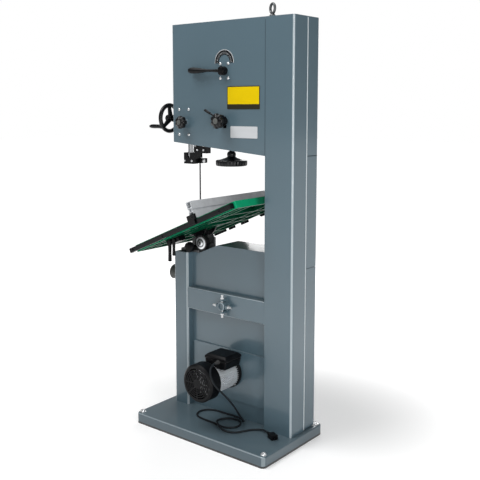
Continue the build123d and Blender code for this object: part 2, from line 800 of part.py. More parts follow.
def make_motor_body():
    flange = rod("y", flange_radius, motor_front, body_front, wheel_x, motor_z)
    core = rod("y", motor_radius, body_front, body_back, wheel_x, motor_z)
    fins = []
    count = 44
    for index in range(count):
        turn = 360.0 * index / count
        fin = block(motor_radius - 2, motor_radius + motor_fin, body_front, body_back - 4, -1.3, 1.3)
        fins.append(Pos(wheel_x, 0, motor_z) * Rot(0, turn, 0) * fin)
    body = (flange + core).fuse(*fins)
    bore = rod("y", motor_shaft_radius + 0.5, motor_front - 1, body_back + 1, wheel_x, motor_z)
    holes = [bore]
    for x, z in motor_bolt_places():
        holes.append(rod("y", motor_bolt_radius + screw_clearance, motor_front - 1, body_front + 1, x, z))
        holes.append(rod("y", 9.0, body_front, body_front + 16, x, z))
    return cut(body, holes)


def make_fan_cover():
    wall = 2.5
    outer = fan_cover_radius
    start, end = body_back + 0.0, cover_back
    profile = [(motor_radius + motor_fin + 1, start - 14), (outer - 5, start - 14), (outer, start - 6),
               (outer, end - 10), (outer - 8, end - 2), (30, end), (0, end), (0, end - wall),
               (30, end - wall), (outer - 9.5, end - wall - 2), (outer - wall, end - 11),
               (outer - wall, start - 6), (outer - 7, start - 11), (motor_radius + motor_fin + 1, start - 11)]
    cover = Pos(wheel_x, 0, motor_z) * Rot(-90, 0, 0) * revolve(
        make_face(Polyline(*[(r, 0, h) for r, h in profile], close=True)), Axis.Z)
    slots = []
    for ring in range(5):
        radius = 24 + 11 * ring
        slots.append(tube("y", radius + 6, radius, end - 8, end + 2, wheel_x, motor_z))
    bars = [Pos(wheel_x, 0, motor_z) * Rot(0, 45 * k, 0) * block(0, outer, end - 9, end + 3, -2.5, 2.5)
            for k in range(8)]
    open_rings = fuse(slots) - fuse(bars)
    return cover - open_rings


box_back = 120.0
gland_start = box_back


def make_terminal_box():
    x0, x1 = wheel_x - 104, wheel_x + 30
    low, high = motor_z + 60, motor_z + 125
    y0, y1 = body_front + 12, box_back
    box = block(x0, x1, y0, y1, low, high)
    box = chamfer(edges_at(box, Axis.Y, z=high), 10.0)
    box = fillet(edges_at(box, Axis.Z), 5.0)
    box = box - rod("y", motor_radius + motor_fin + 0.3, y0 - 1, body_back, wheel_x, motor_z)
    lid_line = block(x0 - 1, x1 + 1, y0 - 1, y1 + 1, high - 17, high - 15.5)
    core = block(x0 + 1.2, x1 - 1.2, y0 + 1.2, y1 - 1.2, high - 20, high - 12)
    return box - (lid_line - core)


gland_x = wheel_x - 60.0
gland_z = motor_z + 98.0
gland_gap = 0.15


def make_cord_gland():
    nut = hex_rod("y", 20.0, gland_start, gland_start + 9, gland_x, gland_z)
    cone = turned([(0, 0), (9, 0), (8.5, 8), (cord_radius + 1.6, 22), (0, 22)],
                  gland_x, gland_start + 9, gland_z, "y")
    return (nut + cone) - rod("y", cord_radius + gland_gap, gland_start + 2, gland_start + 40, gland_x, gland_z)


def make_motor_rotor():
    """Motor shaft with its cooling fan and the drive pulley."""
    shaft = rod("y", motor_shaft_radius, pulley_front - 2, body_back + 26, wheel_x, motor_z)
    return Compound([shaft, fan(), motor_pulley()])


def fan():
    hub = tube("y", 22, motor_shaft_radius, body_back + 6, body_back + 26, wheel_x, motor_z)
    disc = tube("y", 76, 20, body_back + 6, body_back + 9, wheel_x, motor_z)
    blades = [Pos(wheel_x, 0, motor_z) * Rot(0, 40 * k, 0) * block(20, 76, body_back + 8, body_back + 26,
                                                                 -1.5, 1.5) for k in range(9)]
    return fuse([hub, disc] + blades)


# ---------------------------------------------------------------- tensioning and tracking
rail_gap = 0.5
carriage_left = wheel_x - 77.5
carriage_right = wheel_x + 77.5
carriage_front = -44.0
carriage_back = -20.0
carriage_low = upper_wheel_z - 122.0
carriage_high = upper_wheel_z + 128.0
slide_low = upper_wheel_z - 172.0
slide_high = upper_wheel_z + 178.0
tension_hub = 13.0
tension_bush_radius = 24.0
tension_screw_radius = 8.0
cam_radius = 17.0
cam_throw = 5.0
pivot_y = -55.0
pivot_radius = 8.0


def make_carriage_rails():
    rails = []
    for side in (-1, 1):
        inner = wheel_x + side * 66
        outer = wheel_x + side * 96
        bar = block(min(inner, outer), max(inner, outer), -52, -sheet, slide_low, slide_high)
        groove_edge = wheel_x + side * (77.5 + rail_gap)
        groove = block(min(inner - side, groove_edge), max(inner - side, groove_edge),
                       carriage_front - rail_gap, carriage_back + rail_gap, slide_low - 1, slide_high + 1)
        rails.append(bar - groove)
    return Compound(rails)


def make_wheel_carriage():
    plate = block(carriage_left, carriage_right, carriage_front, carriage_back, carriage_low, carriage_high)
    leg = block(wheel_x - 20, wheel_x + 20, carriage_front, carriage_back, carriage_lug_z, carriage_low)
    lug = block(wheel_x - 20, wheel_x + 20, -68, carriage_back, carriage_lug_z,
                carriage_lug_z + carriage_lug_height)
    ears = [block(wheel_x + s * 46 - 14, wheel_x + s * 46 + 14, -68, carriage_front,
                  upper_wheel_z - 20, upper_wheel_z + 20) for s in (-1, 1)]
    carriage = fuse([plate, leg, lug] + ears)
    window_low = tension_z - 25
    window_high = tension_z + 25 + carriage_travel
    holes = [
        block(wheel_x - 25, wheel_x + 25, carriage_front - 1, carriage_back + 1, window_low, window_high),
        rod("y", tracking_screw + running_fit, carriage_front - 1, carriage_back + 1, wheel_x, tracking_z),
        rod("z", tension_screw_radius + running_fit, carriage_lug_z - 10,
            carriage_lug_z + carriage_lug_height + 10, wheel_x, tension_screw_y)]
    pivot_pin = rod("x", pivot_radius, wheel_x - 60, wheel_x + 60, pivot_y, upper_wheel_z)
    return cut(carriage, holes) + pivot_pin


tracking_screw = 6.0


def make_upper_shaft():
    """Tilting block that carries the upper wheel's shaft; the tracking screw pushes its tail."""
    body = block(wheel_x - 31, wheel_x + 31, -68, -45.5, upper_wheel_z - 40, upper_wheel_z + 18)
    tail = block(wheel_x - 18, wheel_x + 18, -62, -50, tracking_z - 14, upper_wheel_z - 40)
    shaft = rod("y", shaft_radius, wheel_y - hub_length / 2 - 1, -68, wheel_x, upper_wheel_z)
    bore = rod("x", pivot_radius + running_fit, wheel_x - 40, wheel_x + 40, pivot_y, upper_wheel_z)
    return fuse([body - bore, tail - bore, shaft, shaft_end_cap(upper_wheel_z)])


def make_tracking_knob():
    knob = lobed_knob(37.0, 28.0, 6, 42.0, wheel_x, tracking_z, 5.0)
    stem = rod("y", tracking_screw, -47.0, 60.0, wheel_x, tracking_z)
    return knob + stem


lock_nut_front = 12.0


def make_tracking_lock():
    """Star nut with a short lever that locks the tracking screw."""
    nut = lobed_knob(28.0, 17.0, 8, lock_nut_front, wheel_x, tracking_z, tracking_screw + running_fit)
    washer = tube("y", 20.0, tracking_screw + running_fit, 0.3, lock_nut_front, wheel_x, tracking_z)
    arm = Pos(wheel_x, lock_nut_front + 9, tracking_z) * Rot(0, -26, 0) * (
        rod("x", 4.0, 15, 104, 0, 0) + rod("x", 6.0, 82, 118, 0, 0))
    bore = rod("y", tracking_screw + running_fit, -5, 60, wheel_x, tracking_z)
    return (nut + washer + arm) - bore


def make_tension_lever():
    """Quick release: hub, shaft and cam, with a handle that lies to the side."""
    hub = rod("y", 21.0, 0.5, 26, wheel_x, tension_z)
    cap = turned([(0, 0), (17, 0), (15, 5), (0, 7)], wheel_x, 26, tension_z, "y")
    shaft = rod("y", tension_hub, -18, 1, wheel_x, tension_z)
    core = rod("y", 9.0, carriage_front, -17, wheel_x, tension_z)
    cam = rod("y", cam_radius, carriage_front + 3, carriage_back - 3, wheel_x, tension_z - cam_throw)
    arm = loft_handle()
    return fuse([hub, cap, shaft, core, cam, arm])


lever_length = 208.0


def loft_handle():
    end = lever_length
    profile = [(0, 16), (8.5, 16), (7, 40), (6, 62), (6.5, 84), (9, 108), (12.5, end - 68),
               (14.5, end - 38), (14.5, end - 16), (12, end - 5), (7, end), (0, end)]
    return Pos(wheel_x, 22, tension_z) * Rot(0, -2, 0) * turned(profile, 0, 0, 0, "x")


scale_radius = 58.0
scale_band = 24.0
scale_rise = 42.0
plate_thickness = 1.5


def tension_scale():
    middle = tension_z + scale_rise
    ring = tube("y", scale_radius, scale_radius - scale_band, 0, plate_thickness, wheel_x, middle)
    half = ring & block(wheel_x - scale_radius, wheel_x + scale_radius, -1, plate_thickness + 1,
                        middle - 5, middle + scale_radius)
    return half


handwheel_rim = 77.0
handwheel_drop = 79.7
handwheel_rim_low = tension_floor_z() - handwheel_drop
handwheel_hub_top = handwheel_rim_low + 74.0
carriage_lug_z = handwheel_rim_low + 128.0
carriage_lug_height = 32.0
tension_screw_top = carriage_lug_z + carriage_lug_height + 8.0


def make_tension_handwheel():
    low = handwheel_rim_low
    rim = handwheel_rim
    profile = [(tension_screw_radius, low + 30), (16, low + 30), (28, low + 24), (rim - 19, low + 12),
               (rim - 12, low + 5), (rim - 7, low), (rim - 2.5, low + 1), (rim, low + 7),
               (rim, low + 24), (rim - 4, low + 28), (rim - 12, low + 26), (rim - 24, low + 31),
               (26, low + 40), (20, low + 45), (22, low + 52), (22, low + 60), (19, low + 66),
               (15, low + 69), (15, handwheel_hub_top), (tension_screw_radius, handwheel_hub_top)]
    return Compound([turned(profile, wheel_x, tension_screw_y, 0), tension_screw()])


def tension_screw():
    screw = rod("z", tension_screw_radius, handwheel_rim_low + 34, tension_screw_top, wheel_x, tension_screw_y)
    collar = tube("z", 18.0, tension_screw_radius, handwheel_hub_top, tension_floor_z() - 2.4,
                  wheel_x, tension_screw_y)
    return screw + collar


def make_tension_spring():
    """Compression spring between the housing floor and the carriage lug."""
    low = tension_bush_top() + 0.3
    high = carriage_lug_z - 0.3
    wire = 1.8
    turns = 4
    pitch = (high - low - 2 * wire) / turns
    path = Helix(pitch, pitch * turns, 14.0)
    start = path @ 0
    section = Plane(origin=start, z_dir=path % 0) * Circle(wire)
    coil = sweep(section, path=path)
    return Pos(wheel_x, tension_screw_y, low + wire) * coil


# ---------------------------------------------------------------- upper blade guide
rack_x0 = post_x + 5.0
rack_x1 = post_x + guide_post_width / 2
post_back = guide_post_y + guide_post_depth / 2
rack_pitch_radius = rack_module * rack_pinion_teeth / 2
rack_pitch_y = guide_shaft_y - rack_pitch_radius
guide_bush_radius = 11.0
lock_screw_x = post_x - 7.0
lock_screw_z = guide_shaft_z - 19.0
lock_screw_radius = 5.0


def make_guide_post():
    """Square post with a rack on its back."""
    half = guide_post_width / 2
    bar = block(post_x - half, post_x + half, guide_post_y - guide_post_depth / 2, post_back,
                guide_bottom_z + 4, guide_post_top)
    return chamfer(bar.edges().filter_by(Axis.Z), 1.5) + guide_rack()


def guide_rack():
    """Rack teeth; one gap faces the pinion at rest."""
    step = math.pi * rack_module
    low = guide_bottom_z + 40
    high = guide_post_top - 10
    root = rack_pitch_y - 1.2 * rack_module
    tip = rack_pitch_y + 0.9 * rack_module
    points = [(post_back - 2, low)]
    first = math.ceil((low - guide_shaft_z) / step) + 1
    last = math.floor((high - guide_shaft_z) / step) - 1
    points.append((root, low))
    for index in range(first, last + 1):
        middle = guide_shaft_z + (index + 0.5) * step
        points += [(root, middle - 0.34 * step), (tip, middle - 0.15 * step),
                   (tip, middle + 0.15 * step), (root, middle + 0.34 * step)]
    points += [(root, high), (post_back - 2, high)]
    return slab_yz(points, rack_x0, rack_x1)


def guide_pinion_shaft():
    """Shaft through the housing side with the pinion at its end."""
    outline = gear_outline(rack_pinion_teeth, rack_module, 0, 359.9, phase=0.0, thin=0.1)
    wheel = extrude(make_face(Polyline(*[(x, y, 0) for x, y in outline], close=True)), rack_x1 - rack_x0)
    wheel = Rot(0, 0, 90.0) * wheel
    wheel = Pos(rack_x0, guide_shaft_y, guide_shaft_z) * Rot(0, 90, 0) * wheel
    shaft = rod("x", 6.0, rack_x0 - 6, guide_wheel_x + 16, guide_shaft_y, guide_shaft_z)
    return wheel + shaft


def guide_bush():
    flange = tube("x", 20.0, 6.0 + running_fit, body_right, body_right + 5, guide_shaft_y, guide_shaft_z)
    sleeve = tube("x", guide_bush_radius, 6.0 + running_fit, body_right - sheet - 12, body_right,
                  guide_shaft_y, guide_shaft_z)
    nose = tube("x", 13.0, 6.0 + running_fit, body_right + 5, body_right + 20, guide_shaft_y, guide_shaft_z)
    return fuse([flange, sleeve, nose])


def make_guide_handwheel():
    rim = Pos(guide_wheel_x, guide_shaft_y, guide_shaft_z) * Rot(0, 90, 0) * Torus(
        guide_wheel_radius, guide_rim_radius)
    hub = rod("x", 17.0, guide_wheel_x - 24, guide_wheel_x + 18, guide_shaft_y, guide_shaft_z)
    hub = fillet(hub.edges().sort_by(Axis.X)[-1], 4.0)
    wheel = rim + hub
    for index in range(3):
        spoke = slab_yz([(8, -13), (guide_wheel_radius - 2, -7), (guide_wheel_radius - 2, 7), (8, 13)],
                        guide_wheel_x - 12, guide_wheel_x - 2)
        turn = crank_angle() + 120 * index
        wheel = wheel + Pos(0, guide_shaft_y, guide_shaft_z) * Rot(turn, 0, 0) * spoke
    boss = rod("x", 12.0, guide_wheel_x - 8, guide_wheel_x + 13, crank_y, crank_z)
    wheel = wheel + boss
    pin_hole = rod("x", crank_pin, guide_wheel_x - 20, guide_wheel_x + 30, crank_y, crank_z)
    wheel = wheel - rod("x", 6.0, 0, guide_wheel_x + 16, guide_shaft_y, guide_shaft_z) - pin_hole
    return Compound([wheel, guide_pinion_shaft(), crank_pin_bolt()])


crank_pin = 4.0
crank_y = guide_shaft_y + 51.0
crank_z = guide_shaft_z - 41.9


def crank_angle():
    return math.degrees(math.atan2(crank_z - guide_shaft_z, crank_y - guide_shaft_y))


def crank_pin_bolt():
    shaft = rod("x", crank_pin, guide_wheel_x - 7, guide_wheel_x + 88, crank_y, crank_z)
    return shaft + rod("x", crank_pin + 2.5, guide_wheel_x + 88, guide_wheel_x + 91, crank_y, crank_z)


def make_crank_handle():
    profile = [(crank_pin + running_fit, 0), (8.5, 0), (10, 8), (10.5, 50), (9.5, 66), (7.5, 72),
               (crank_pin + running_fit, 72)]
    return turned(profile, guide_wheel_x + 15, crank_y, crank_z, "x")


def make_post_guide():
    """Bracket inside the housing that the guide post slides in."""
    half = guide_post_width / 2 + post_fit
    low_z, high_z = guide_shaft_z - 99, guide_shaft_z + 61
    flange = block(post_x - 42, post_x + 42, -10, -sheet, low_z, high_z)
    sleeves = []
    for z0, z1 in ((low_z, low_z + 45), (high_z - 40, high_z)):
        sleeves.append(block(post_x - half - 9, post_x + half + 9,
                             guide_post_y - guide_post_depth / 2 - 9, -10, z0, z1))
    bracket = fuse([flange] + sleeves)
    slot = block(post_x - half, post_x + half, guide_post_y - guide_post_depth / 2 - post_fit,
                 post_back + post_fit, low_z - 1, high_z + 1)
    rack_slot = block(rack_x0 - 0.6, post_x + half, post_back, rack_pitch_y + 3, low_z - 1, high_z + 1)
    lock_hole = rod("y", lock_screw_radius + running_fit, -12, 0, lock_screw_x, lock_screw_z)
    bracket = bracket - slot - rack_slot - lock_hole
    for x, z in panel_screw_places()[4:]:
        bracket = bracket - rod("y", screw_radius + screw_clearance, -9, 0, x, z)
    return Compound([bracket, guide_bush()])


def make_guide_lock_knob():
    knob = lobed_knob(32.0, 30.0, 6, 20.0, lock_screw_x, lock_screw_z, 4.0)
    stem = rod("y", lock_screw_radius, post_back + 0.3, 30.0, lock_screw_x, lock_screw_z)
    collar = rod("y", 15.0, 0.5, 20.0, lock_screw_x, lock_screw_z)
    return fuse([knob, stem, collar])


def guide_foot():
    """Black block at the foot of the post, with an arm and the blade shield."""
    half = guide_post_width / 2
    y_front = guide_post_y - guide_post_depth / 2
    foot = block(post_x - half - 8, post_x + half + 26, y_front - 8, post_back + 10,
                 guide_bottom_z, guide_bottom_z + 30)
    foot = fillet(foot.edges().filter_by(Axis.Z), 4.0)
    left = block(post_x - half - 12, post_x + 2, post_back + 5, post_back + 8,
                 guide_bottom_z + 30, guide_bottom_z + 56)
    right = block(post_x + half + 4, post_x + half + 26, post_back + 5, post_back + 8,
                  guide_bottom_z + 30, guide_bottom_z + 56)
    cheek = block(post_x - half - 12, post_x - half - 8, y_front - 6, post_back + 8,
                  guide_bottom_z + 26, guide_bottom_z + 56)
    far_cheek = block(post_x + half + 22, post_x + half + 26, y_front - 6, post_back + 8,
                      guide_bottom_z + 26, guide_bottom_z + 56)
    arm = block(post_x - half - 96, post_x - half - 12, y_front - 2, post_back + 8,
                guide_bottom_z + 56, guide_bottom_z + 88)
    step = block(post_x - half - 30, post_x - half - 12, y_front - 2, post_back + 8,
                 guide_bottom_z + 40, guide_bottom_z + 60)
    body = fuse([foot, left, right, cheek, far_cheek, arm + step])
    post_hole = block(post_x - half, post_x + half, y_front, post_back, guide_bottom_z + 4,
                      guide_bottom_z + 100)
    rack_room = block(rack_x0, rack_x1, post_back - 1, rack_pitch_y + 3, guide_bottom_z + 36,
                      guide_bottom_z + 100)
    return body - post_hole - rack_room


def guide_bridge(z0, z1, left, right, web_front, web_back, front):
    """A U-shaped holder round the back of the blade."""
    web = block(left, right, web_front, web_back, z0, z1)
    arm_left = block(left, left + 14, front, web_front, z0, z1)
    arm_right = block(right - 14, right, front, web_front, z0, z1)
    return fuse([web, arm_left, arm_right])


disc_gap = 0.4
disc_setback = 1.0
disc_radius = 12.0
lower_disc_radius = 11.0


def disc_middle(radius):
    """Where the side guides' axis lies, with their rear edge just before the blade's back."""
    return blade_back - disc_setback - radius


def guide_discs(z, left, right, radius, web_front):
    """Knurled side guides and the thrust bearing behind the blade."""
    solids = []
    middle = disc_middle(radius)
    edge = blade_thickness / 2 + disc_gap
    for near, far in ((blade_x - edge, left + 14), (blade_x + edge, right - 14)):
        x0, x1 = min(near, far), max(near, far)
        disc = rod("x", radius, x0, x1, middle, z)
        count = 20
        for index in range(count):
            angle = 2 * math.pi * index / count
            disc = disc - rod("x", 1.3, x0 - 1, x1 + 1, middle + radius * math.cos(angle),
                              z + radius * math.sin(angle))
        solids.append(disc)
    solids.append(rod("y", radius * 0.7, blade_back + disc_gap, web_front, blade_x, z))
    return solids


upper_bridge_left = blade_x - 32.0
upper_bridge_right = blade_x + 32.0


def make_upper_guide_body():
    back = guide_post_y - guide_post_depth / 2 - 8
    bridge = guide_bridge(guide_bottom_z + 2, guide_bottom_z + 26, upper_bridge_left, upper_bridge_right,
                          blade_back + 8, back, disc_middle(disc_radius) - disc_radius)
    return guide_foot() + bridge


def make_upper_guides():
    return Compound(guide_discs(guide_bottom_z + 14, upper_bridge_left, upper_bridge_right, disc_radius,
                                blade_back + 8))


def make_blade_guard():
    """Thin shield beside and in front of the blade, above the guide."""
    side_x = blade_x + 18
    low, high = guide_bottom_z + 26, guide_bottom_z + 330
    side = block(side_x, side_x + 2, wheel_y - 20, blade_back + 14, low, high)
    front = block(blade_x + 4, side_x + 2, wheel_y - 22, wheel_y - 20, low, high)
    return side + front


# ---------------------------------------------------------------- table and its support
def make_table():
    s0, s1 = -table_column_side, table_outer_side
    y0, y1 = -table_front, table_rear
    outer = block(s0, s1, y0, y1, -table_depth, 0)
    outer = fillet(outer.edges().filter_by(Axis.Z), 8.0)
    hollow = block(s0 + table_rim, s1 - table_rim, y0 + table_rim, y1 - table_rim,
                   -table_depth - 1, -table_skin)
    for s in (-300.0, -190.0, -95.0, 95.0, 185.0):
        hollow = hollow - block(s - table_rib / 2, s + table_rib / 2, y0, y1, -table_depth, 0)
    for y in (-290.0, -190.0, 10.0, 66.0):
        hollow = hollow - block(s0, s1, y - table_rib / 2, y + table_rib / 2, -table_depth, 0)
    pads = [block(-78, 60, y - 4, y + trunnion_thickness + 15, -table_depth, 0)
            for y in (rear_cradle_y, )]
    pads.append(block(-78, 60, front_cradle_y - 4, front_cradle_y + trunnion_thickness + 4, -table_depth, 0))
    hollow = hollow - fuse(pads)
    table = outer - hollow
    hole = rod("z", insert_radius - 6, -table_depth - 1, 1, 0, wheel_y)
    recess = rod("z", insert_radius, -insert_thickness, 1, 0, wheel_y)
    slot = block(-blade_slot / 2, blade_slot / 2, y0 - 1, wheel_y, -table_depth - 1, 1)
    return in_table(cut(table, [hole, recess, slot]))


def make_table_insert():
    disc = rod("z", insert_radius - insert_clearance, -insert_thickness, 0, 0, wheel_y)
    slot = block(-5, 9, wheel_y - 45, blade_back + 6, -10, 1)
    return in_table(disc - slot)


rear_cradle_y = -88.0
front_cradle_y = -168.0


def half_disc(radius, y0, y1):
    """The part of a disc round the pivot that lies below the table."""
    disc = rod("y", radius, y0, y1, 0, 0)
    return disc & block(-radius, radius, y0, y1, -radius - 1, -table_depth)


def make_table_trunnions():
    """Two half-discs under the table and the toothed sector behind them."""
    plates = [in_table(half_disc(trunnion_radius, y + 1, y + trunnion_thickness - 1))
              for y in (rear_cradle_y, front_cradle_y)]
    return Compound(plates + [tilt_sector()])


sector_y = rear_cradle_y + trunnion_thickness + 3.0
pinion_distance = gear_module * (sector_teeth + pinion_teeth) / 2
pinion_angle = 41.2
pinion_x = blade_x - pinion_distance * math.sin(math.radians(pinion_angle))
pinion_z = table_z - pinion_distance * math.cos(math.radians(pinion_angle))
sector_low = -57.0
sector_high = 14.0
sector_band = 13.0


def tilt_sector():
    """Toothed quadrant under the table; angles run from straight down, in the table's frame."""
    outline = gear_outline(sector_teeth, gear_module, 270 + sector_low, 270 + sector_high,
                           phase=270.0, thin=0.16)
    root = gear_module * sector_teeth / 2 - sector_band
    inner = []
    for step in range(13):
        a = math.radians(270 + sector_high - (sector_high - sector_low) * step / 12)
        inner.append((root * math.cos(a), root * math.sin(a)))
    arc = slab_xz(outline + inner, sector_y, sector_y + sector_thickness)
    stem = block(-34, 12, sector_y, sector_y + sector_thickness, -root - 2, -table_depth)
    foot = block(-60, 40, sector_y, sector_y + sector_thickness, -table_depth - 8, -table_depth)
    return in_table(fuse([arc, stem, foot]))


def pinion_turn():
    """Turns the pinion so that its teeth fall in the gaps of the sector at rest."""
    step = 360.0 / sector_teeth
    contact = 270.0 + (table_tilt - pinion_angle)
    offset = (contact - 270.0) / step
    fraction = offset - round(offset)
    own_step = 360.0 / pinion_teeth
    facing = 90.0 - pinion_angle
    return facing + (0.5 + fraction) * own_step


def tilt_pinion():
    outline = gear_outline(pinion_teeth, gear_module, 0, 359.9, phase=0.0, thin=0.16)
    face = make_face(Polyline(*[(x, 0, z) for x, z in outline], close=True))
    wheel = extrude(face, sector_thickness, dir=(0, 1, 0))
    wheel = Rot(0, -pinion_turn(), 0) * wheel
    wheel = Pos(pinion_x, sector_y, pinion_z) * wheel
    shaft = rod("y", 7.0, rear_cradle_y, tilt_wheel_back - 4, pinion_x, pinion_z)
    return wheel + shaft


tilt_wheel_front = -58.0
tilt_wheel_back = -30.0


def make_tilt_handwheel():
    """Knurled wheel, silver cap, shaft and pinion."""
    return Compound([tilt_wheel(), tilt_wheel_cap(), tilt_pinion()])


def tilt_wheel():
    r = tilt_wheel_radius
    depth = tilt_wheel_back - tilt_wheel_front
    rim = rod("y", r, tilt_wheel_front, tilt_wheel_back, pinion_x, pinion_z)
    count = 24
    for index in range(count):
        angle = 2 * math.pi * index / count
        rim = rim - rod("y", 2.2, tilt_wheel_front - 1, tilt_wheel_back + 1,
                        pinion_x + (r + 0.8) * math.cos(angle), pinion_z + (r + 0.8) * math.sin(angle))
    dish = rod("y", r - 7, tilt_wheel_back - 4, tilt_wheel_back + 1, pinion_x, pinion_z)
    return rim - dish - rod("y", 7.0, tilt_wheel_front - 1, tilt_wheel_back - 4, pinion_x, pinion_z)


def tilt_wheel_cap():
    cap = turned([(0, 0), (tilt_wheel_radius - 7, 0), (tilt_wheel_radius - 8, 5), (16, 7), (10, 11), (0, 12)],
                 pinion_x, tilt_wheel_back - 4, pinion_z, "y")
    return cap


tilt_lock_x = blade_x - 8.0
tilt_lock_z = table_z - 105.0
tilt_lock_front = -28.0


def make_tilt_lock_knob():
    knob = turned([(0, 0), (20, 0), (26, 5), (27, 14), (25, 24), (17, 29), (0, 30)],
                  tilt_lock_x, tilt_lock_front, tilt_lock_z, "y")
    shaft = rod("y", 6.0, rear_cradle_y + 1, tilt_lock_front + 2, tilt_lock_x, tilt_lock_z)
    return knob + shaft


wedge_reach = 150.0
bearing_boss = 14.0


def cradle_plate(y0):
    """Upright plate whose upper edge is the arc that a table trunnion turns in."""
    points = [(0, 0)]
    for angle in (-32, -15, 0, 7):
        a = math.radians(angle)
        points.append((wedge_reach * math.sin(a), -wedge_reach * math.cos(a)))
    wedge = slab_xz(points, y0, y0 + trunnion_thickness)
    ring = tube("y", cradle_radius, trunnion_radius + cradle_gap, y0, y0 + trunnion_thickness, 0, 0)
    floor = ledge_z + 10 - table_z
    stand = block(-52, 28, y0, y0 + trunnion_thickness, floor, -trunnion_radius - 8)
    return Pos(blade_x, 0, table_z) * ((ring & wedge) + stand)


def pinion_arm():
    """Arm of the rear plate that carries the tilt shaft beside the cradle."""
    y0, y1 = rear_cradle_y, rear_cradle_y + trunnion_thickness
    boss = rod("y", bearing_boss, y0, y1, pinion_x, pinion_z)
    root = bracket_left + 26
    arm = slab_xz([(pinion_x - 10, pinion_z - 8), (pinion_x + 6, pinion_z + 12), (root, ledge_z + 26),
                   (root, ledge_z + 4), (bracket_left, ledge_z + 4)], y0, y1)
    return boss + arm


bracket_foot = 12.0
bracket_bolt_radius = 5.0
bracket_left = ledge_x + 2.0
bracket_right = body_right - 17.0
bridge_right = blade_x - 30.0


def make_trunnion_bracket():
    foot = block(bracket_left, bracket_right, rear_cradle_y, -34, ledge_z, ledge_z + bracket_foot)
    foot = fillet(foot.edges().filter_by(Axis.Z), 5.0)
    plates = [cradle_plate(y) for y in (rear_cradle_y, front_cradle_y)]
    web = block(bracket_left, bracket_right - 30, rear_cradle_y, rear_cradle_y + trunnion_thickness,
                ledge_z + 10, ledge_z + 26)
    bridge = block(bracket_left, bridge_right, front_cradle_y, rear_cradle_y + 1, ledge_z + 14, ledge_z + 30)
    bracket = fuse([foot, web, bridge, pinion_arm()] + plates)
    holes = [rod("y", 7.0 + running_fit, rear_cradle_y - 5, -60, pinion_x, pinion_z),
             rod("y", 6.0 + running_fit, rear_cradle_y - 5, -60, tilt_lock_x, tilt_lock_z)]
    for x, y in bracket_bolt_places():
        holes.append(rod("z", bracket_bolt_radius + screw_clearance, ledge_z - 5, ledge_z + 20, x, y))
    return cut(bracket, holes)


def bracket_bolt_places():
    return [(bracket_left + 20, -58.0), (bracket_right - 14, -58.0)]


lower_guide_z = ledge_z + 34.0


def make_lower_guides():
    """Lower blade guides, carried by the bridge of the trunnion bracket."""
    right = blade_x + 30
    web_front = blade_back + 4
    body = guide_bridge(lower_guide_z - 14, lower_guide_z + 10, bridge_right, right, web_front,
                        rear_cradle_y, disc_middle(lower_disc_radius) - lower_disc_radius)
    return Compound([body] + guide_discs(lower_guide_z, bridge_right, right, lower_disc_radius, web_front))


def make_lock_mount():
    """Light casting under the table that carries the two hanging lock levers."""
    body = block(20, 110, mount_front, mount_back, -table_depth - 24, -table_depth)
    body = fillet(body.edges().filter_by(Axis.Z), 6.0)
    holes = [rod("y", lever_pin + running_fit, -1, mount_back + 1, s, n) for s, n in lever_places()]
    return in_table(cut(body, holes))


def lever_places():
    """Pivots of the long and the short lever in the table's frame."""
    return [(77.0, -47.0), (49.0, -50.0)]


lever_pin = 4.0
mount_back = 62.0
mount_front = 6.0


def hanging_lever(index, length, thickness):
    """A flat lever that hangs straight down at rest."""
    y0, y1 = mount_back + 0.3, mount_back + 0.3 + thickness
    pin_end = mount_back - 40
    s, n = lever_places()[index]
    arm = slab_xz([(-8, 6), (8, 6), (6, -length * 0.55), (8, -length), (-8, -length),
                   (-6, -length * 0.55)], y0, y1)
    arm = fillet(arm.edges().filter_by(Axis.Y), 3.0)
    hub = rod("y", 11.0, y0, y1, 0, 0)
    upright = Rot(0, -table_tilt, 0) * (arm + hub)
    pin = rod("y", lever_pin, pin_end, y1, 0, 0)
    return in_table(Pos(s, 0, n) * (upright + pin))


def make_long_lever():
    return hanging_lever(0, 100.0, 11.0)


def make_short_lever():
    return hanging_lever(1, 76.0, 8.0)


def rail_tube(s0, s1, y0, y1, low):
    high = low + rail_side
    bar = block(s0, s1, y0, y1, low, high)
    bar = fillet(bar.edges().filter_by(Axis.X), 3.0)
    return bar - block(s0 - 1, s1 + 1, y0 + rail_wall, y1 - rail_wall, low + rail_wall, high - rail_wall)


rail_s0 = -table_column_side + 20.0
rail_s1 = table_outer_side + 12.0
rail_low = -31.0
rail_thick = 26.0


def make_rails():
    """Square tubes along the table's front and rear edges."""
    rear = in_table(rail_tube(rail_s0, rail_s1, table_rear, table_rear + rail_thick, rail_low))
    return Compound([rear, front_rail()])


def front_rail():
    bar = rail_tube(rail_s0, rail_s1, -table_front - rail_thick, -table_front, rail_low)
    hangers = [block(s0, s1, -table_front - rail_thick, -table_front - rail_thick + 6,
                     rail_low - 15, rail_low + 1)
               for s0, s1 in ((107, 200), (37, 84), (-64, -10), (-181, -158), (-300, -260))]
    return in_table(fuse([bar] + hangers))


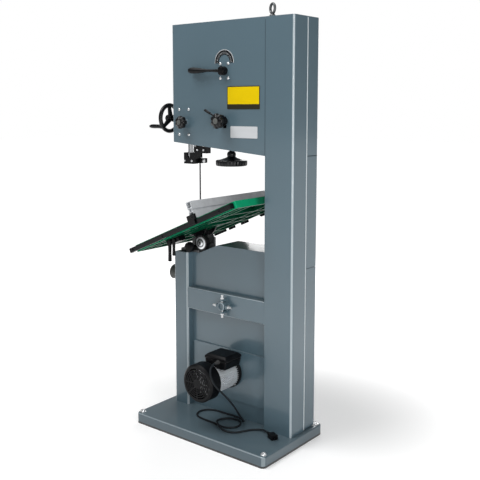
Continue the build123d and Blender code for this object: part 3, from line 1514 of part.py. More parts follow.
def rail_caps():
    caps = []
    for y0, proud_front, proud_back in ((table_rear, 0, 0.5), (-table_front - rail_thick, 0.5, 0)):
        for s0, s1, inner in ((rail_s0 - 8, rail_s0, rail_s0 + 8), (rail_s1, rail_s1 + 8, rail_s1 - 8)):
            cap = block(s0, s1, y0 - proud_front, y0 + rail_thick + proud_back,
                        rail_low - 0.5, rail_low + rail_side + 0.5)
            cap = fillet(cap.edges().filter_by(Axis.X), 4.0)
            plug_s = sorted((inner, s0 if inner < s0 else s1))
            plug = block(plug_s[0], plug_s[1], y0 + rail_wall + 0.3, y0 + rail_thick - rail_wall - 0.3,
                         rail_low + rail_wall + 0.3, rail_low + rail_side - rail_wall - 0.3)
            caps.append(in_table(cap + plug))
    return caps


def make_rail_ends():
    return Compound(rail_caps() + rail_screws())


def rail_screws():
    screws = []
    middle = rail_low + rail_side / 2
    for s in (rail_s1 - 14, 40.0, -160.0, -360.0):
        screws.append(in_table(turned([(0, 0), (6, 0), (5, 3), (0, 4)], s, table_rear + rail_thick,
                                      middle, "y")))
        screws.append(in_table(Pos(s, -table_front - rail_thick, middle) * Rot(90, 0, 0)
                               * Cylinder(6.0, 4.0, align=(Align.CENTER, Align.CENTER, Align.MIN))))
    return screws


# ---------------------------------------------------------------- fence
fence_s1 = -fence_offset
fence_s0 = fence_s1 - fence_width
fence_back = table_rear + 18.0
fence_front = -table_front - 0.5
carriage_top = 46.0
fence_nose = -table_front - 64.0


def make_fence():
    """Aluminium extrusion with a slot on each side, standing on the table."""
    low, high = fence_lift, fence_lift + fence_height
    bar = block(fence_s0, fence_s1, fence_front, fence_back, low, high)
    bar = bar + block(fence_s0, fence_s1, fence_nose, fence_front, carriage_top + fence_lift, high)
    wall = 3.0
    middle = (fence_s0 + fence_s1) / 2
    cores = [block(fence_s0 + wall, fence_s1 - wall, fence_front - 1, fence_back + 1, low + wall, low + 30),
             block(middle - 6, middle + 6, fence_front - 1, fence_back + 1, low + 33, low + 52),
             block(fence_s0 + wall, fence_s1 - wall, fence_nose - 1, fence_back + 1, low + 55, high - wall)]
    narrow = []
    for side, face in ((1, fence_s1), (-1, fence_s0)):
        deep = block(min(face - side * 2, face - side * 7), max(face - side * 2, face - side * 7),
                     fence_front - 1, fence_back + 1, low + 36, low + 49)
        mouth = block(min(face + side, face - side * 3), max(face + side, face - side * 3),
                      fence_front - 1, fence_back + 1, low + 39, low + 46)
        narrow += [deep, mouth]
    return in_table(cut(bar, cores + narrow))


carriage_s0 = fence_s0 - 32.0
carriage_s1 = fence_s1 + 30.0
carriage_y0 = -table_front - 54.0
lever_axis_y = carriage_y0 - 8.3
lever_axis_n = -22.0


def fence_carriage():
    rail_top = rail_low + rail_side + 0.3
    top = block(carriage_s0, carriage_s1, carriage_y0, fence_front, rail_top, carriage_top)
    top = chamfer(edges_at(top, Axis.Y, z=carriage_top), 10.0)
    apron = block(carriage_s0, carriage_s1, carriage_y0, -table_front - rail_thick - 6.3, -40, rail_top)
    body = top + apron
    ears = [block(s - 5, s + 5, lever_axis_y - 6, carriage_y0 + 1, lever_axis_n - 8, lever_axis_n + 8)
            for s in (carriage_s0 + 14, carriage_s1 - 14)]
    body = fuse([body] + ears)
    return in_table(body - rod("x", 4.0 + running_fit, carriage_s0, carriage_s1, lever_axis_y, lever_axis_n))


def make_fence_brackets():
    """Front carriage and rear clamp of the fence."""
    return Compound([fence_carriage(), fence_clamp()])


def fence_clamp():
    """Plate on the fence's far end that hooks over the rear rail."""
    rail_top = rail_low + rail_side + 0.3
    plate = block(fence_s0 - 10, fence_s1 + 10, fence_back, fence_back + 14, rail_top, 20)
    hook_y = table_rear + rail_thick + 4.3
    hook = block(fence_s0 - 6, fence_s1 + 6, hook_y, hook_y + 5, rail_low + 2, rail_top + 1)
    body = plate + hook
    screw = turned([(0, 0), (6, 0), (5, 3), (0, 4)], fence_s0 + 6, fence_back + 14, 6, "y")
    return in_table(body + screw)


def make_fence_lever():
    mid = (carriage_s0 + carriage_s1) / 2
    hub = rod("x", 8.0, carriage_s0 + 20, carriage_s1 - 20, lever_axis_y, lever_axis_n)
    pin = rod("x", 4.0, carriage_s0 + 9.5, carriage_s1 - 9.5, lever_axis_y, lever_axis_n)
    arm = block(mid - 8, mid + 8, lever_axis_y - 70, lever_axis_y - 2, lever_axis_n - 6, lever_axis_n + 4)
    grip = rod("y", 11.0, lever_axis_y - 118, lever_axis_y - 66, mid, lever_axis_n - 1)
    grip = fillet(grip.edges().sort_by(Axis.Y)[0], 6.0)
    return in_table(fuse([hub, pin, arm, grip]))


# ---------------------------------------------------------------- dust port and plates
def make_dust_port():
    inner = dust_port_radius - dust_port_wall
    pipe = tube("x", dust_port_radius, inner, body_right, body_right + dust_port_length,
                dust_port_y, dust_port_z)
    flange = tube("x", dust_port_radius + 9, inner, body_right, body_right + 3, dust_port_y, dust_port_z)
    bead = tube("x", dust_port_radius + 1.5, inner, body_right + dust_port_length - 6,
                body_right + dust_port_length - 2, dust_port_y, dust_port_z)
    return fuse([pipe, flange, bead])


def plate_xz(x0, x1, z0, z1):
    plate = block(x0, x1, 0, plate_thickness, z0, z1)
    return fillet(plate.edges().filter_by(Axis.Y), 4.0)


def make_rear_plates():
    """Blank yellow and white plates and the half-round tension scale."""
    yellow = plate_xz(column_right + 30, column_right + 224, upper_wheel_z - 137, upper_wheel_z - 30)
    white = plate_xz(column_right + 43, column_right + 204, guide_shaft_z - 89, guide_shaft_z - 34)
    return Compound([yellow, white, tension_scale()])


# ---------------------------------------------------------------- power cord
cord_route = [
    (-44, 130, 383), (-44, 172, 383), (-60, 205, 353), (-84, 202, 302), (-102, 168, 260),
    (-112, 127, 214), (-119, 88, 164), (-122, 56, 114), (-119, 25, 78), (-102, -5, 58.5),
    (-68, -24, 57.5), (-18, -28, 57.5), (40, -25, 57.5), (88, -25, 57.5), (122, -16, 57.5),
    (147, 6, 57.5), (156, 38, 57.5), (145, 70, 57.5), (118, 90, 57.5), (76, 98, 57.5),
    (24, 98, 57.5), (-22, 103, 57.5), (-56, 108, 57.5), (-87, 101, 57.5), (-109, 78, 57.5),
    (-114, 46, 57.5), (-101, 17, 57.5), (-74, 1, 57.5), (-42, 0, 57.5), (-13, 13, 57.5),
    (5, 39, 57.5), (5, 71, 62), (-13, 98, 70), (-41, 123, 70), (-76, 138, 62),
    (-114, 139, 57.5), (-148, 120, 57.5), (-168, 86, 57.5), (-184, 50, 57.5), (-213, 26, 58.5),
    (-248, 24, 66), (-280, 38, 66)]


def corner_radii(points):
    """Arc at each corner, as large as its two runs allow."""
    radii = []
    for before, here, after in zip(points, points[1:], points[2:]):
        run_in, run_out = Vector(*here) - Vector(*before), Vector(*after) - Vector(*here)
        half_turn = math.radians(run_in.get_angle(run_out)) / 2
        radii.append(0.45 * min(run_in.length, run_out.length) / math.tan(half_turn))
    return radii


def make_power_cord():
    radii = corner_radii(cord_route)
    path = FilletPolyline(*cord_route, radius=radii)
    section = Plane(origin=path @ 0, z_dir=path % 0) * Circle(cord_radius)
    tube_solid = sweep(section, path=path)
    expected = math.pi * cord_radius ** 2 * path.length
    print("cord radii", [round(r) for r in radii])
    print("cord length", round(path.length), "volume ratio", round(tube_solid.volume / expected, 4))
    return tube_solid


plug_width = 36.0
plug_height = 26.0


def make_plug():
    """Plug with a tapered sleeve, lying flat at the cord's end."""
    end, before = Vector(*cord_route[-1]), Vector(*cord_route[-2])
    sleeve = turned([(0, 0), (cord_radius + 1.0, 0), (8.5, 24), (0, 24)], 0, 0, 0, "x")
    body = block(24, 62, -plug_width / 2, plug_width / 2, -plug_height / 2, plug_height / 2)
    body = fillet(body.edges().filter_by(Axis.X), 7.0)
    body = fillet(body.faces().sort_by(Axis.X)[0].edges(), 4.0)
    pins = [block(62, 80, s * 7 - 1, s * 7 + 1, -3.5, 3.5) for s in (-1, 1)]
    place = Plane(origin=end, x_dir=end - before, z_dir=(0, 0, 1))
    return place * fuse([sleeve, body] + pins)


# ---------------------------------------------------------------- build
def all_nodes():
    return {
        "base_plate": make_base_plate(),
        "frame_bolts": make_frame_bolts(),
        "column": make_column(),
        "upper_housing": make_upper_housing(),
        "lower_housing": make_lower_housing(),
        "cross_rib": make_cross_rib(),
        "column_cover": make_column_cover(),
        "eye_bolt": make_eye_bolt(),
        "panel_screws": make_panel_screws(),
        "rear_plates": make_rear_plates(),
        "carriage_rails": make_carriage_rails(),
        "post_guide": make_post_guide(),
        "door_fittings": make_door_fittings(),
        "lower_shaft_mount": make_lower_shaft_mount(),
        "saw_blade": make_blade(),
        "drive_belt": make_drive_belt(),
        "motor_plate": make_motor_plate(),
        "motor_body": make_motor_body(),
        "fan_cover": make_fan_cover(),
        "terminal_box": make_terminal_box(),
        "dust_port": make_dust_port(),
        "trunnion_bracket": make_trunnion_bracket(),
        "lower_guides": make_lower_guides(),
        "cord_gland": make_cord_gland(),
        "power_cord": make_power_cord(),
        "plug": make_plug(),
        "upper_door": make_upper_door(),
        "upper_latch": make_latch_knob(upper_latch_z),
        "lower_door": make_lower_door(),
        "lower_latch": make_latch_knob(lower_latch_z),
        "tension_handwheel": make_tension_handwheel(),
        "tension_spring": make_tension_spring(),
        "wheel_carriage": make_wheel_carriage(),
        "upper_shaft": make_upper_shaft(),
        "upper_wheel": make_wheel(upper_wheel_z),
        "lower_wheel": make_lower_wheel(),
        "motor_rotor": make_motor_rotor(),
        "tension_lever": make_tension_lever(),
        "tracking_knob": make_tracking_knob(),
        "tracking_lock": make_tracking_lock(),
        "guide_post": make_guide_post(),
        "upper_guide_body": make_upper_guide_body(),
        "upper_guides": make_upper_guides(),
        "blade_guard": make_blade_guard(),
        "guide_handwheel": make_guide_handwheel(),
        "crank_handle": make_crank_handle(),
        "guide_lock_knob": make_guide_lock_knob(),
        "table": make_table(),
        "table_insert": make_table_insert(),
        "table_trunnions": make_table_trunnions(),
        "lock_mount": make_lock_mount(),
        "long_lever": make_long_lever(),
        "short_lever": make_short_lever(),
        "rails": make_rails(),
        "rail_ends": make_rail_ends(),
        "fence": make_fence(),
        "fence_brackets": make_fence_brackets(),
        "fence_lever": make_fence_lever(),
        "tilt_handwheel": make_tilt_handwheel(),
        "tilt_lock_knob": make_tilt_lock_knob(),
    }


def main():
    os.makedirs("parts", exist_ok=True)
    for name, shape in all_nodes().items():
        export_step(shape, "parts/" + name + ".step")
        print(name, round(shape.volume), len(shape.solids()))


if __name__ == "__main__":
    main()
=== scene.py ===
import json
import math

import bpy
from bpy.props import FloatProperty, FloatVectorProperty, PointerProperty
from mathutils import Matrix, Vector


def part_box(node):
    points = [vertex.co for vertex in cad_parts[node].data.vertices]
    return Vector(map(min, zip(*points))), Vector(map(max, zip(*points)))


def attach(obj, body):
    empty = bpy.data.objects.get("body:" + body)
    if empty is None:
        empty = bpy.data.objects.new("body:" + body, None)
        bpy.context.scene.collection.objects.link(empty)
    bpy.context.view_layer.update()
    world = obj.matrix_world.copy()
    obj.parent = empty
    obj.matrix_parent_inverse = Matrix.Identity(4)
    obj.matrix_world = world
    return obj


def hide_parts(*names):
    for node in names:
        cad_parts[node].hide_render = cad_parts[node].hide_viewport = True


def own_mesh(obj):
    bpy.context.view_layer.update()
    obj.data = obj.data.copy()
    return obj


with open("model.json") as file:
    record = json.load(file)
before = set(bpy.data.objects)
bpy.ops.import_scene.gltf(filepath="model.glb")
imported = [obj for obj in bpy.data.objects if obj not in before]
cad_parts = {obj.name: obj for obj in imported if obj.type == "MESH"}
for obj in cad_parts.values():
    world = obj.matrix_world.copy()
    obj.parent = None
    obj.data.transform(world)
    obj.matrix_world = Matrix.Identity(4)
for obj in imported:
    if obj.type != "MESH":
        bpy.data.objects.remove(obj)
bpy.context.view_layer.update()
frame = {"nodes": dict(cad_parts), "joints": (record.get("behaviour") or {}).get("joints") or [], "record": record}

bl_info = {
    "name": "Band saw",
    "version": (1, 0, 0),
    "blender": (4, 5, 0),
    "location": "3D View > Sidebar > Band saw",
    "description": "Finishes a floor-standing band saw: paint, castings, knobs, cord and studio",
    "category": "Object",
}


# ------------------------------------------------------------------ settings
def srgb(red, green, blue):
    """A colour given in 0 to 255 screen values, as linear light."""
    result = []
    for value in (red, green, blue):
        v = value / 255
        result.append(v / 12.92 if v <= 0.04045 else ((v + 0.055) / 1.055) ** 2.4)
    return tuple(result)


def colour(name, description, default):
    """A colour setting."""
    return FloatVectorProperty(name=name, description=description, default=default, size=3, min=0, max=1,
                               subtype="COLOR")


def share(name, description, default):
    """A setting from 0 to 1."""
    return FloatProperty(name=name, description=description, default=default, min=0, max=1, subtype="FACTOR")


def watts(name, description, default):
    """A lamp's power."""
    return FloatProperty(name=name, description=description, default=default, min=0, unit="POWER")


class SawFinish(bpy.types.PropertyGroup):
    """Colours and finishes of the machine."""
    paint: colour("Body paint", "Blue-grey enamel of the body", srgb(82, 104, 115))
    green: colour("Table green", "Enamel on the table's edges and underside", srgb(8, 150, 104))
    yellow: colour("Yellow plate", "Enamel of the large rear plate", srgb(230, 197, 0))
    black: colour("Black parts", "Moulded knobs and handles", srgb(8, 9, 12))
    cord: colour("Cord jacket", "Jacket of the power cord", srgb(30, 34, 38))
    table: colour("Machined iron", "Ground top of the table", srgb(182, 184, 186))
    alloy: colour("Alloy", "Motor body and fence", srgb(226, 229, 232))
    wear: share("Edge wear", "How much paint is rubbed off the edges", 0.25)
    peel: share("Orange peel", "Height of the paint's ripple", 0.05)


class SawStage(bpy.types.PropertyGroup):
    """Camera and light."""
    place: FloatVectorProperty(name="Camera place", description="Where the camera stands",
                               default=(-2.2934, 2.7546, 1.5916), subtype="XYZ", unit="LENGTH")
    azimuth: FloatProperty(name="Azimuth", description="Direction that the camera looks from",
                           default=math.radians(218.791), subtype="ANGLE")
    fall: FloatProperty(name="Downward tilt", description="How far the camera looks down",
                        default=math.radians(7.144), subtype="ANGLE")
    lens: FloatProperty(name="Lens", description="Focal length in millimetres", default=56.13, min=10)
    rise: FloatProperty(name="Vertical shift", description="Shift of the frame", default=-0.08)
    sky: FloatProperty(name="Room light", description="Strength of the even light", default=0.2, min=0)
    key: watts("Key light", "Power of the high soft lamp", 115)
    side: watts("Side light", "Power of the lamp on the column's side", 27)
    strip: watts("Strip light", "Power of the tall lamp behind the camera", 24)
    fill: watts("Fill light", "Power of the soft lamp before the doors", 50)


# ------------------------------------------------------------------ shader nodes
def link(tree, value, node, entry):
    """Sets an input to a plain value, or links it from a node's first output or a (node, output) pair."""
    if isinstance(value, bpy.types.Node):
        value = (value, 0)
    if isinstance(value, tuple) and isinstance(value[0], bpy.types.Node):
        tree.links.new(value[0].outputs[value[1]], node.inputs[entry])
    elif value is not None:
        socket = node.inputs[entry]
        socket.default_value = (*value, 1) if socket.type == "RGBA" else value


def add(tree, kind, **settings):
    """A node with its properties, and its inputs given as in_NAME or in_INDEX for link."""
    node = tree.nodes.new("ShaderNode" + kind)
    for key, value in settings.items():
        if key.startswith("in_"):
            name = key[3:].replace("_", " ")
            link(tree, value, node, int(name) if name.isdigit() else name)
        else:
            setattr(node, key, value)
    return node


def maths(tree, operation, first, second=None, clamp=False):
    """A Math node."""
    return add(tree, "Math", operation=operation, use_clamp=clamp, in_0=first, in_1=second)


def product(tree, first, *others, clamp=False):
    """Several values multiplied one after another."""
    for other in others:
        first = maths(tree, "MULTIPLY", first, other, clamp=clamp)
    return first


def vectors(tree, operation, first, second=None):
    """A Vector Math node."""
    return add(tree, "VectorMath", operation=operation, in_0=first, in_1=second)


def dot(tree, first, second):
    """How far two directions agree."""
    return vectors(tree, "DOT_PRODUCT", first, second), "Value"


def on_object(tree):
    """The object's own coordinates."""
    return add(tree, "TexCoord"), "Object"


def noise(tree, scale, detail, roughness=0.5, place=None):
    """Noise over the object's coordinates, or over a place worked out from them."""
    return add(tree, "TexNoise", in_Vector=place or on_object(tree), in_Scale=scale, in_Detail=detail,
               in_Roughness=roughness), "Fac"


def facing_axes(tree):
    """The three parts of the surface's normal."""
    return add(tree, "SeparateXYZ", in_Vector=(add(tree, "NewGeometry"), "Normal"))


def group(name, inputs, outputs):
    """An empty shader node group with its inputs and their defaults, and its outputs."""
    tree = bpy.data.node_groups.new(name, "ShaderNodeTree")
    for socket, default in inputs.items():
        kind = "NodeSocketVector" if isinstance(default, tuple) else "NodeSocketFloat"
        tree.interface.new_socket(socket, in_out="INPUT", socket_type=kind).default_value = default
    for socket in outputs:
        tree.interface.new_socket(socket, in_out="OUTPUT", socket_type="NodeSocketFloat")
    return tree, tree.nodes.new("NodeGroupInput"), tree.nodes.new("NodeGroupOutput")


def use(tree, name, **values):
    """A node group placed with its own values."""
    node = tree.nodes.new("ShaderNodeGroup")
    node.node_tree = bpy.data.node_groups[name]
    for key, value in values.items():
        node.inputs[key].default_value = value
    return node


def make_edge_wear():
    """Mask of rubbed edges: where a rounded normal leaves the flat one, broken up by noise."""
    tree, start, end = group("edge_wear", {"Width": 0.002, "Amount": 0.3, "Scale": 60.0}, ("Mask",))
    bevel = add(tree, "Bevel", samples=4, in_Radius=(start, "Width"))
    flat = dot(tree, bevel, (add(tree, "NewGeometry"), "Normal"))
    edge = maths(tree, "SUBTRACT", 1.0, flat, clamp=True)
    broken = maths(tree, "MULTIPLY", edge, 14.0)
    speck = maths(tree, "SUBTRACT", noise(tree, (start, "Scale"), 5.0, 0.6), 0.42)
    speck = maths(tree, "MULTIPLY", speck, 7.0, clamp=True)
    link(tree, product(tree, broken, speck, (start, "Amount"), clamp=True), end, "Mask")


def make_mottle():
    """Slow and fine variation of a finish: a factor around 1 and a fine grain."""
    tree, start, end = group("mottle", {"Scale": 4.0, "Contrast": 0.1}, ("Factor", "Grain"))
    centred = maths(tree, "SUBTRACT", noise(tree, (start, "Scale"), 3.0, 0.55), 0.5)
    scaled = maths(tree, "MULTIPLY", centred, (start, "Contrast"))
    link(tree, maths(tree, "ADD", scaled, 1.0), end, "Factor")
    link(tree, noise(tree, 420.0, 2.0), end, "Grain")


def make_brushed():
    """Grinding lines along one direction of the object."""
    tree, start, end = group("brushed", {"Stretch": (4.0, 400.0, 400.0), "Depth": 0.5},
                             ("Lines", "Roughness"))
    streaks = noise(tree, 1.0, 4.0, 0.7, vectors(tree, "MULTIPLY", on_object(tree), (start, "Stretch")))
    link(tree, maths(tree, "MULTIPLY", streaks, (start, "Depth")), end, "Lines")
    rough = maths(tree, "MULTIPLY", streaks, 0.28)
    link(tree, maths(tree, "ADD", rough, 0.2), end, "Roughness")


def make_settled_dust():
    """Dust on faces that look up, thicker in patches."""
    tree, start, end = group("settled_dust", {"Amount": 0.3, "Scale": 12.0}, ("Mask",))
    up = maths(tree, "SUBTRACT", (facing_axes(tree), "Z"), 0.45)
    up = maths(tree, "MULTIPLY", up, 2.0, clamp=True)
    mask = maths(tree, "MULTIPLY", up, noise(tree, (start, "Scale"), 6.0, 0.65))
    link(tree, maths(tree, "MULTIPLY", mask, (start, "Amount"), clamp=True), end, "Mask")


def make_painted_fold_highlight():
    """Mask of the rounded folds of sheet metal, where a painted highlight lightens the paint."""
    tree, start, end = group("fold_sheen", {"Amount": 0.5}, ("Mask",))
    facing = facing_axes(tree)
    x, y, z = (maths(tree, "MULTIPLY", (facing, axis), (facing, axis)) for axis in "XYZ")
    turned_away = maths(tree, "MULTIPLY", maths(tree, "ADD", x, z), y)
    mask = maths(tree, "MULTIPLY", turned_away, 8.0)
    mask = maths(tree, "SUBTRACT", mask, 0.5, clamp=True)
    link(tree, product(tree, mask, 1.6, (start, "Amount"), clamp=True), end, "Mask")


# ------------------------------------------------------------------ materials
def material(name, **values):
    """A material, its node tree and its shader, with plain values on the shader's sockets."""
    made = bpy.data.materials.new(name)
    made.use_nodes = True
    tree = made.node_tree
    shader = tree.nodes["Principled BSDF"]
    for key, value in values.items():
        link(tree, value, shader, key.replace("_", " "))
    return made, tree, shader


def mix_colour(tree, factor, first, second):
    """A colour between two, as a (node, output) pair."""
    return add(tree, "Mix", data_type="RGBA", in_0=factor, in_6=first, in_7=second), 2


def tinted(tree, base, mottle):
    """The base colour made a little lighter and darker by a mottle group."""
    return add(tree, "VectorMath", operation="SCALE", in_0=base, in_Scale=(mottle, "Factor"))


def rounded_bump(tree, shader, radius, height, strength, distance):
    """Gives a shader a bump over softly rounded edges."""
    bevel = add(tree, "Bevel", samples=4, in_Radius=radius)
    bump = add(tree, "Bump", in_Strength=strength, in_Distance=distance, in_Height=height, in_Normal=bevel)
    link(tree, bump, shader, "Normal")


def grained_roughness(tree, shader, mottle, spread, least):
    """Gives a shader a roughness that rises from its least by a fine grain."""
    rough = maths(tree, "MULTIPLY", (mottle, "Grain"), spread)
    link(tree, maths(tree, "ADD", rough, least, clamp=True), shader, "Roughness")


def between(tree, axis, low, high):
    """1 between two levels of one object axis."""
    place = add(tree, "SeparateXYZ", in_Vector=on_object(tree)), axis
    return product(tree, maths(tree, "GREATER_THAN", place, low), maths(tree, "LESS_THAN", place, high))


def enamel(name, base, wear, peel, roughness=0.36, under=(0.12, 0.12, 0.12), dust=0.25, coat=0.6, foot=0.0,
           sheen=0.0, gloss=0.5):
    """Sprayed enamel with orange peel, rubbed edges, a little dust on top faces, a painted highlight on rounded
    folds and a painted contact shadow along the foot.
    """
    made, tree, shader = material(name, Specular_IOR_Level=gloss, Coat_Weight=coat, Coat_Roughness=0.12)
    look = tinted(tree, base, use(tree, "mottle", Scale=3.0, Contrast=0.09))
    look = mix_colour(tree, use(tree, "edge_wear", Width=0.0022, Amount=wear, Scale=55.0), look, under)
    dusty = use(tree, "settled_dust", Amount=dust, Scale=9.0)
    look = mix_colour(tree, dusty, look, (0.42, 0.40, 0.36))
    if sheen:
        # Painted highlight: rounded folds turn pale blue-grey where a lamp's highlight would run.
        look = mix_colour(tree, use(tree, "fold_sheen", Amount=sheen), look, (0.66, 0.74, 0.78))
    # Painted shadow: the bottom of the foot turns near black where the floor's contact shadow would be.
    if foot:
        look = mix_colour(tree, between(tree, "Z", -1.0, foot), look, (0.012, 0.014, 0.016))
    link(tree, look, shader, "Base Color")
    rough = maths(tree, "MULTIPLY", dusty, 0.5)
    link(tree, maths(tree, "ADD", rough, roughness, clamp=True), shader, "Roughness")
    rounded_bump(tree, shader, 0.0015, noise(tree, 150.0, 2.0, 0.4), peel, 0.001)
    return made


def moulded(name, base, roughness=0.42, grain=0.25, round_edge=0.001, gloss=0.16):
    """Moulded plastic or rubber with a fine grain."""
    made, tree, shader = material(name, Specular_IOR_Level=gloss)
    mottle = use(tree, "mottle", Scale=18.0, Contrast=0.3)
    link(tree, tinted(tree, base, mottle), shader, "Base Color")
    grained_roughness(tree, shader, mottle, 0.2, roughness - 0.1)
    rounded_bump(tree, shader, round_edge, (mottle, "Grain"), grain, 0.0004)
    return made


def bare_metal(name, base, stretch=(4.0, 400.0, 400.0), roughness=0.0):
    """Ground or turned metal with lines and faint stains."""
    made, tree, shader = material(name, Metallic=1.0)
    link(tree, tinted(tree, base, use(tree, "mottle", Scale=14.0, Contrast=0.3)), shader, "Base Color")
    lines = use(tree, "brushed", Stretch=stretch, Depth=0.5)
    link(tree, maths(tree, "ADD", (lines, "Roughness"), roughness, clamp=True), shader, "Roughness")
    rounded_bump(tree, shader, 0.0008, (lines, "Lines"), 0.25, 0.0003)
    return made


def cast_metal(name, base, metallic, roughness, pits, flange=None):
    """Sand-cast surface with small pits; flange is (height on Y, colour) of a painted end."""
    made, tree, shader = material(name, Metallic=metallic)
    mottle = use(tree, "mottle", Scale=30.0, Contrast=0.35)
    look = tinted(tree, base, mottle)
    if flange:
        look = mix_colour(tree, between(tree, "Y", -1.0, flange[0]), look, flange[1])
    link(tree, look, shader, "Base Color")
    grained_roughness(tree, shader, mottle, 0.3, roughness - 0.15)
    rounded_bump(tree, shader, 0.0015, (mottle, "Grain"), pits, 0.0006)
    return made


def plate_enamels(finish):
    """Rear plates: yellow with a dark foot band, a pale blank plate, and a dark scale with light ticks."""
    made, tree, shader = material("rear_plate_enamels", Specular_IOR_Level=0.15)
    scale_x, scale_z = 0.016, 1.807
    ticks_from, ticks_to, rim_from = 0.0385, 0.0465, 0.0555
    mottle = use(tree, "mottle", Scale=20.0, Contrast=0.08)
    panel = product(tree, between(tree, "X", -0.1925, -0.0055), between(tree, "Z", 1.6085, 1.6885))
    look = mix_colour(tree, panel, (0.025, 0.022, 0.012), tinted(tree, finish.yellow, mottle))
    brushed = use(tree, "brushed", Stretch=(3.0, 3.0, 700.0), Depth=1.0)
    pale = mix_colour(tree, brushed, (0.50, 0.52, 0.54), (0.72, 0.74, 0.76))
    look = mix_colour(tree, between(tree, "Z", 1.40, 1.54), look, pale)
    place = add(tree, "SeparateXYZ", in_Vector=on_object(tree))
    across = maths(tree, "SUBTRACT", (place, "X"), scale_x)
    above = maths(tree, "SUBTRACT", (place, "Z"), scale_z)
    wave = maths(tree, "MULTIPLY", maths(tree, "ARCTAN2", above, across), 36.0)
    tick = maths(tree, "GREATER_THAN", maths(tree, "COSINE", wave), 0.86)
    squares = [product(tree, side, side) for side in (across, above)]
    radius = maths(tree, "SQRT", maths(tree, "ADD", *squares))
    ticks = product(tree, tick, maths(tree, "GREATER_THAN", radius, ticks_from),
                    maths(tree, "LESS_THAN", radius, ticks_to))
    marks = maths(tree, "MAXIMUM", ticks, maths(tree, "GREATER_THAN", radius, rim_from))
    dial = mix_colour(tree, marks, (0.012, 0.013, 0.015), (0.55, 0.57, 0.58))
    link(tree, mix_colour(tree, between(tree, "Z", 1.79, 1.90), look, dial), shader, "Base Color")
    grained_roughness(tree, shader, mottle, 0.2, 0.3)
    rounded_bump(tree, shader, 0.0006, (mottle, "Grain"), 0.05, 0.0003)
    return made


def tilt_wheel_finish(finish):
    """Polished face with a black groove, nut and rim, told apart by the distance from the wheel's axis."""
    made, tree, shader = material("tilt_wheel_finish")
    rim, groove, groove_half, nut = 0.0315, 0.019, 0.0025, 0.0085
    away = vectors(tree, "SUBTRACT", on_object(tree), tuple(joint_place("tilt_wheel_turn")))
    reach = vectors(tree, "LENGTH", vectors(tree, "MULTIPLY", away, (1, 0, 1))), "Value"
    off_groove = maths(tree, "ABSOLUTE", maths(tree, "SUBTRACT", reach, groove))
    face = product(tree, maths(tree, "LESS_THAN", reach, rim),
                   maths(tree, "GREATER_THAN", off_groove, groove_half),
                   maths(tree, "GREATER_THAN", reach, nut))
    mottle = use(tree, "mottle", Scale=30.0, Contrast=0.3)
    bright = tinted(tree, finish.alloy, mottle)
    link(tree, mix_colour(tree, face, finish.black, bright), shader, "Base Color")
    link(tree, maths(tree, "MULTIPLY", face, 0.9), shader, "Metallic")
    grained_roughness(tree, shader, mottle, 0.2, 0.24)
    rounded_bump(tree, shader, 0.0012, (mottle, "Grain"), 0.15, 0.0004)
    return made


def table_enamel(finish):
    """Green enamel with painted shade on faces that look down and in the pockets below, and a ground top that
    shows its grinding lines.
    """
    made, tree, shader = material("table_enamel", Specular_IOR_Level=0.12)
    tilt = math.radians(23.2)
    top_depth, pocket_depth, wall = 0.0004, 0.005, 0.005
    up = (math.sin(tilt), 0, math.cos(tilt))
    place = vectors(tree, "SUBTRACT", on_object(tree), tuple(joint_place("table_tilt")))
    rise = dot(tree, place, up)
    across = dot(tree, place, (math.cos(tilt), 0, -math.sin(tilt)))
    along = add(tree, "SeparateXYZ", in_Vector=on_object(tree)), "Y"
    top = maths(tree, "GREATER_THAN", rise, -top_depth)
    below = maths(tree, "LESS_THAN", dot(tree, (add(tree, "TexCoord"), "Normal"), up), -0.5)
    pocket = maths(tree, "LESS_THAN", rise, -pocket_depth)
    for way, low, high in ((across, -0.45, 0.275), (along, -0.392, 0.12)):
        offset = maths(tree, "ABSOLUTE", maths(tree, "SUBTRACT", way, (low + high) / 2))
        pocket = product(tree, pocket, maths(tree, "LESS_THAN", offset, (high - low) / 2 - wall))
    # Painted shade: faces that look down and the pockets below turn dark green.
    shaded = maths(tree, "MULTIPLY", maths(tree, "MAXIMUM", below, pocket), 0.85)
    mottle = use(tree, "mottle", Scale=6.0, Contrast=0.16)
    green = tinted(tree, finish.green, mottle)
    green = mix_colour(tree, shaded, green, [0.16 * part for part in finish.green])
    edges = use(tree, "edge_wear", Width=0.002, Amount=finish.wear, Scale=50.0)
    chipped = mix_colour(tree, edges, green, [0.6 * part for part in finish.green])
    surface = mix_colour(tree, top, chipped, tinted(tree, finish.table, mottle))
    link(tree, surface, shader, "Base Color")
    link(tree, top, shader, "Metallic")
    lines = use(tree, "brushed", Stretch=(500.0, 5.0, 500.0), Depth=0.5)
    worked = maths(tree, "ADD", (lines, "Roughness"), 0.24, clamp=True)
    painted = maths(tree, "MULTIPLY", maths(tree, "SUBTRACT", 1.0, top), 0.42)
    rough = maths(tree, "ADD", maths(tree, "MULTIPLY", worked, top), painted)
    link(tree, rough, shader, "Roughness")
    rounded_bump(tree, shader, 0.0012, maths(tree, "MULTIPLY", (lines, "Lines"), top), 0.2, 0.0003)
    return made


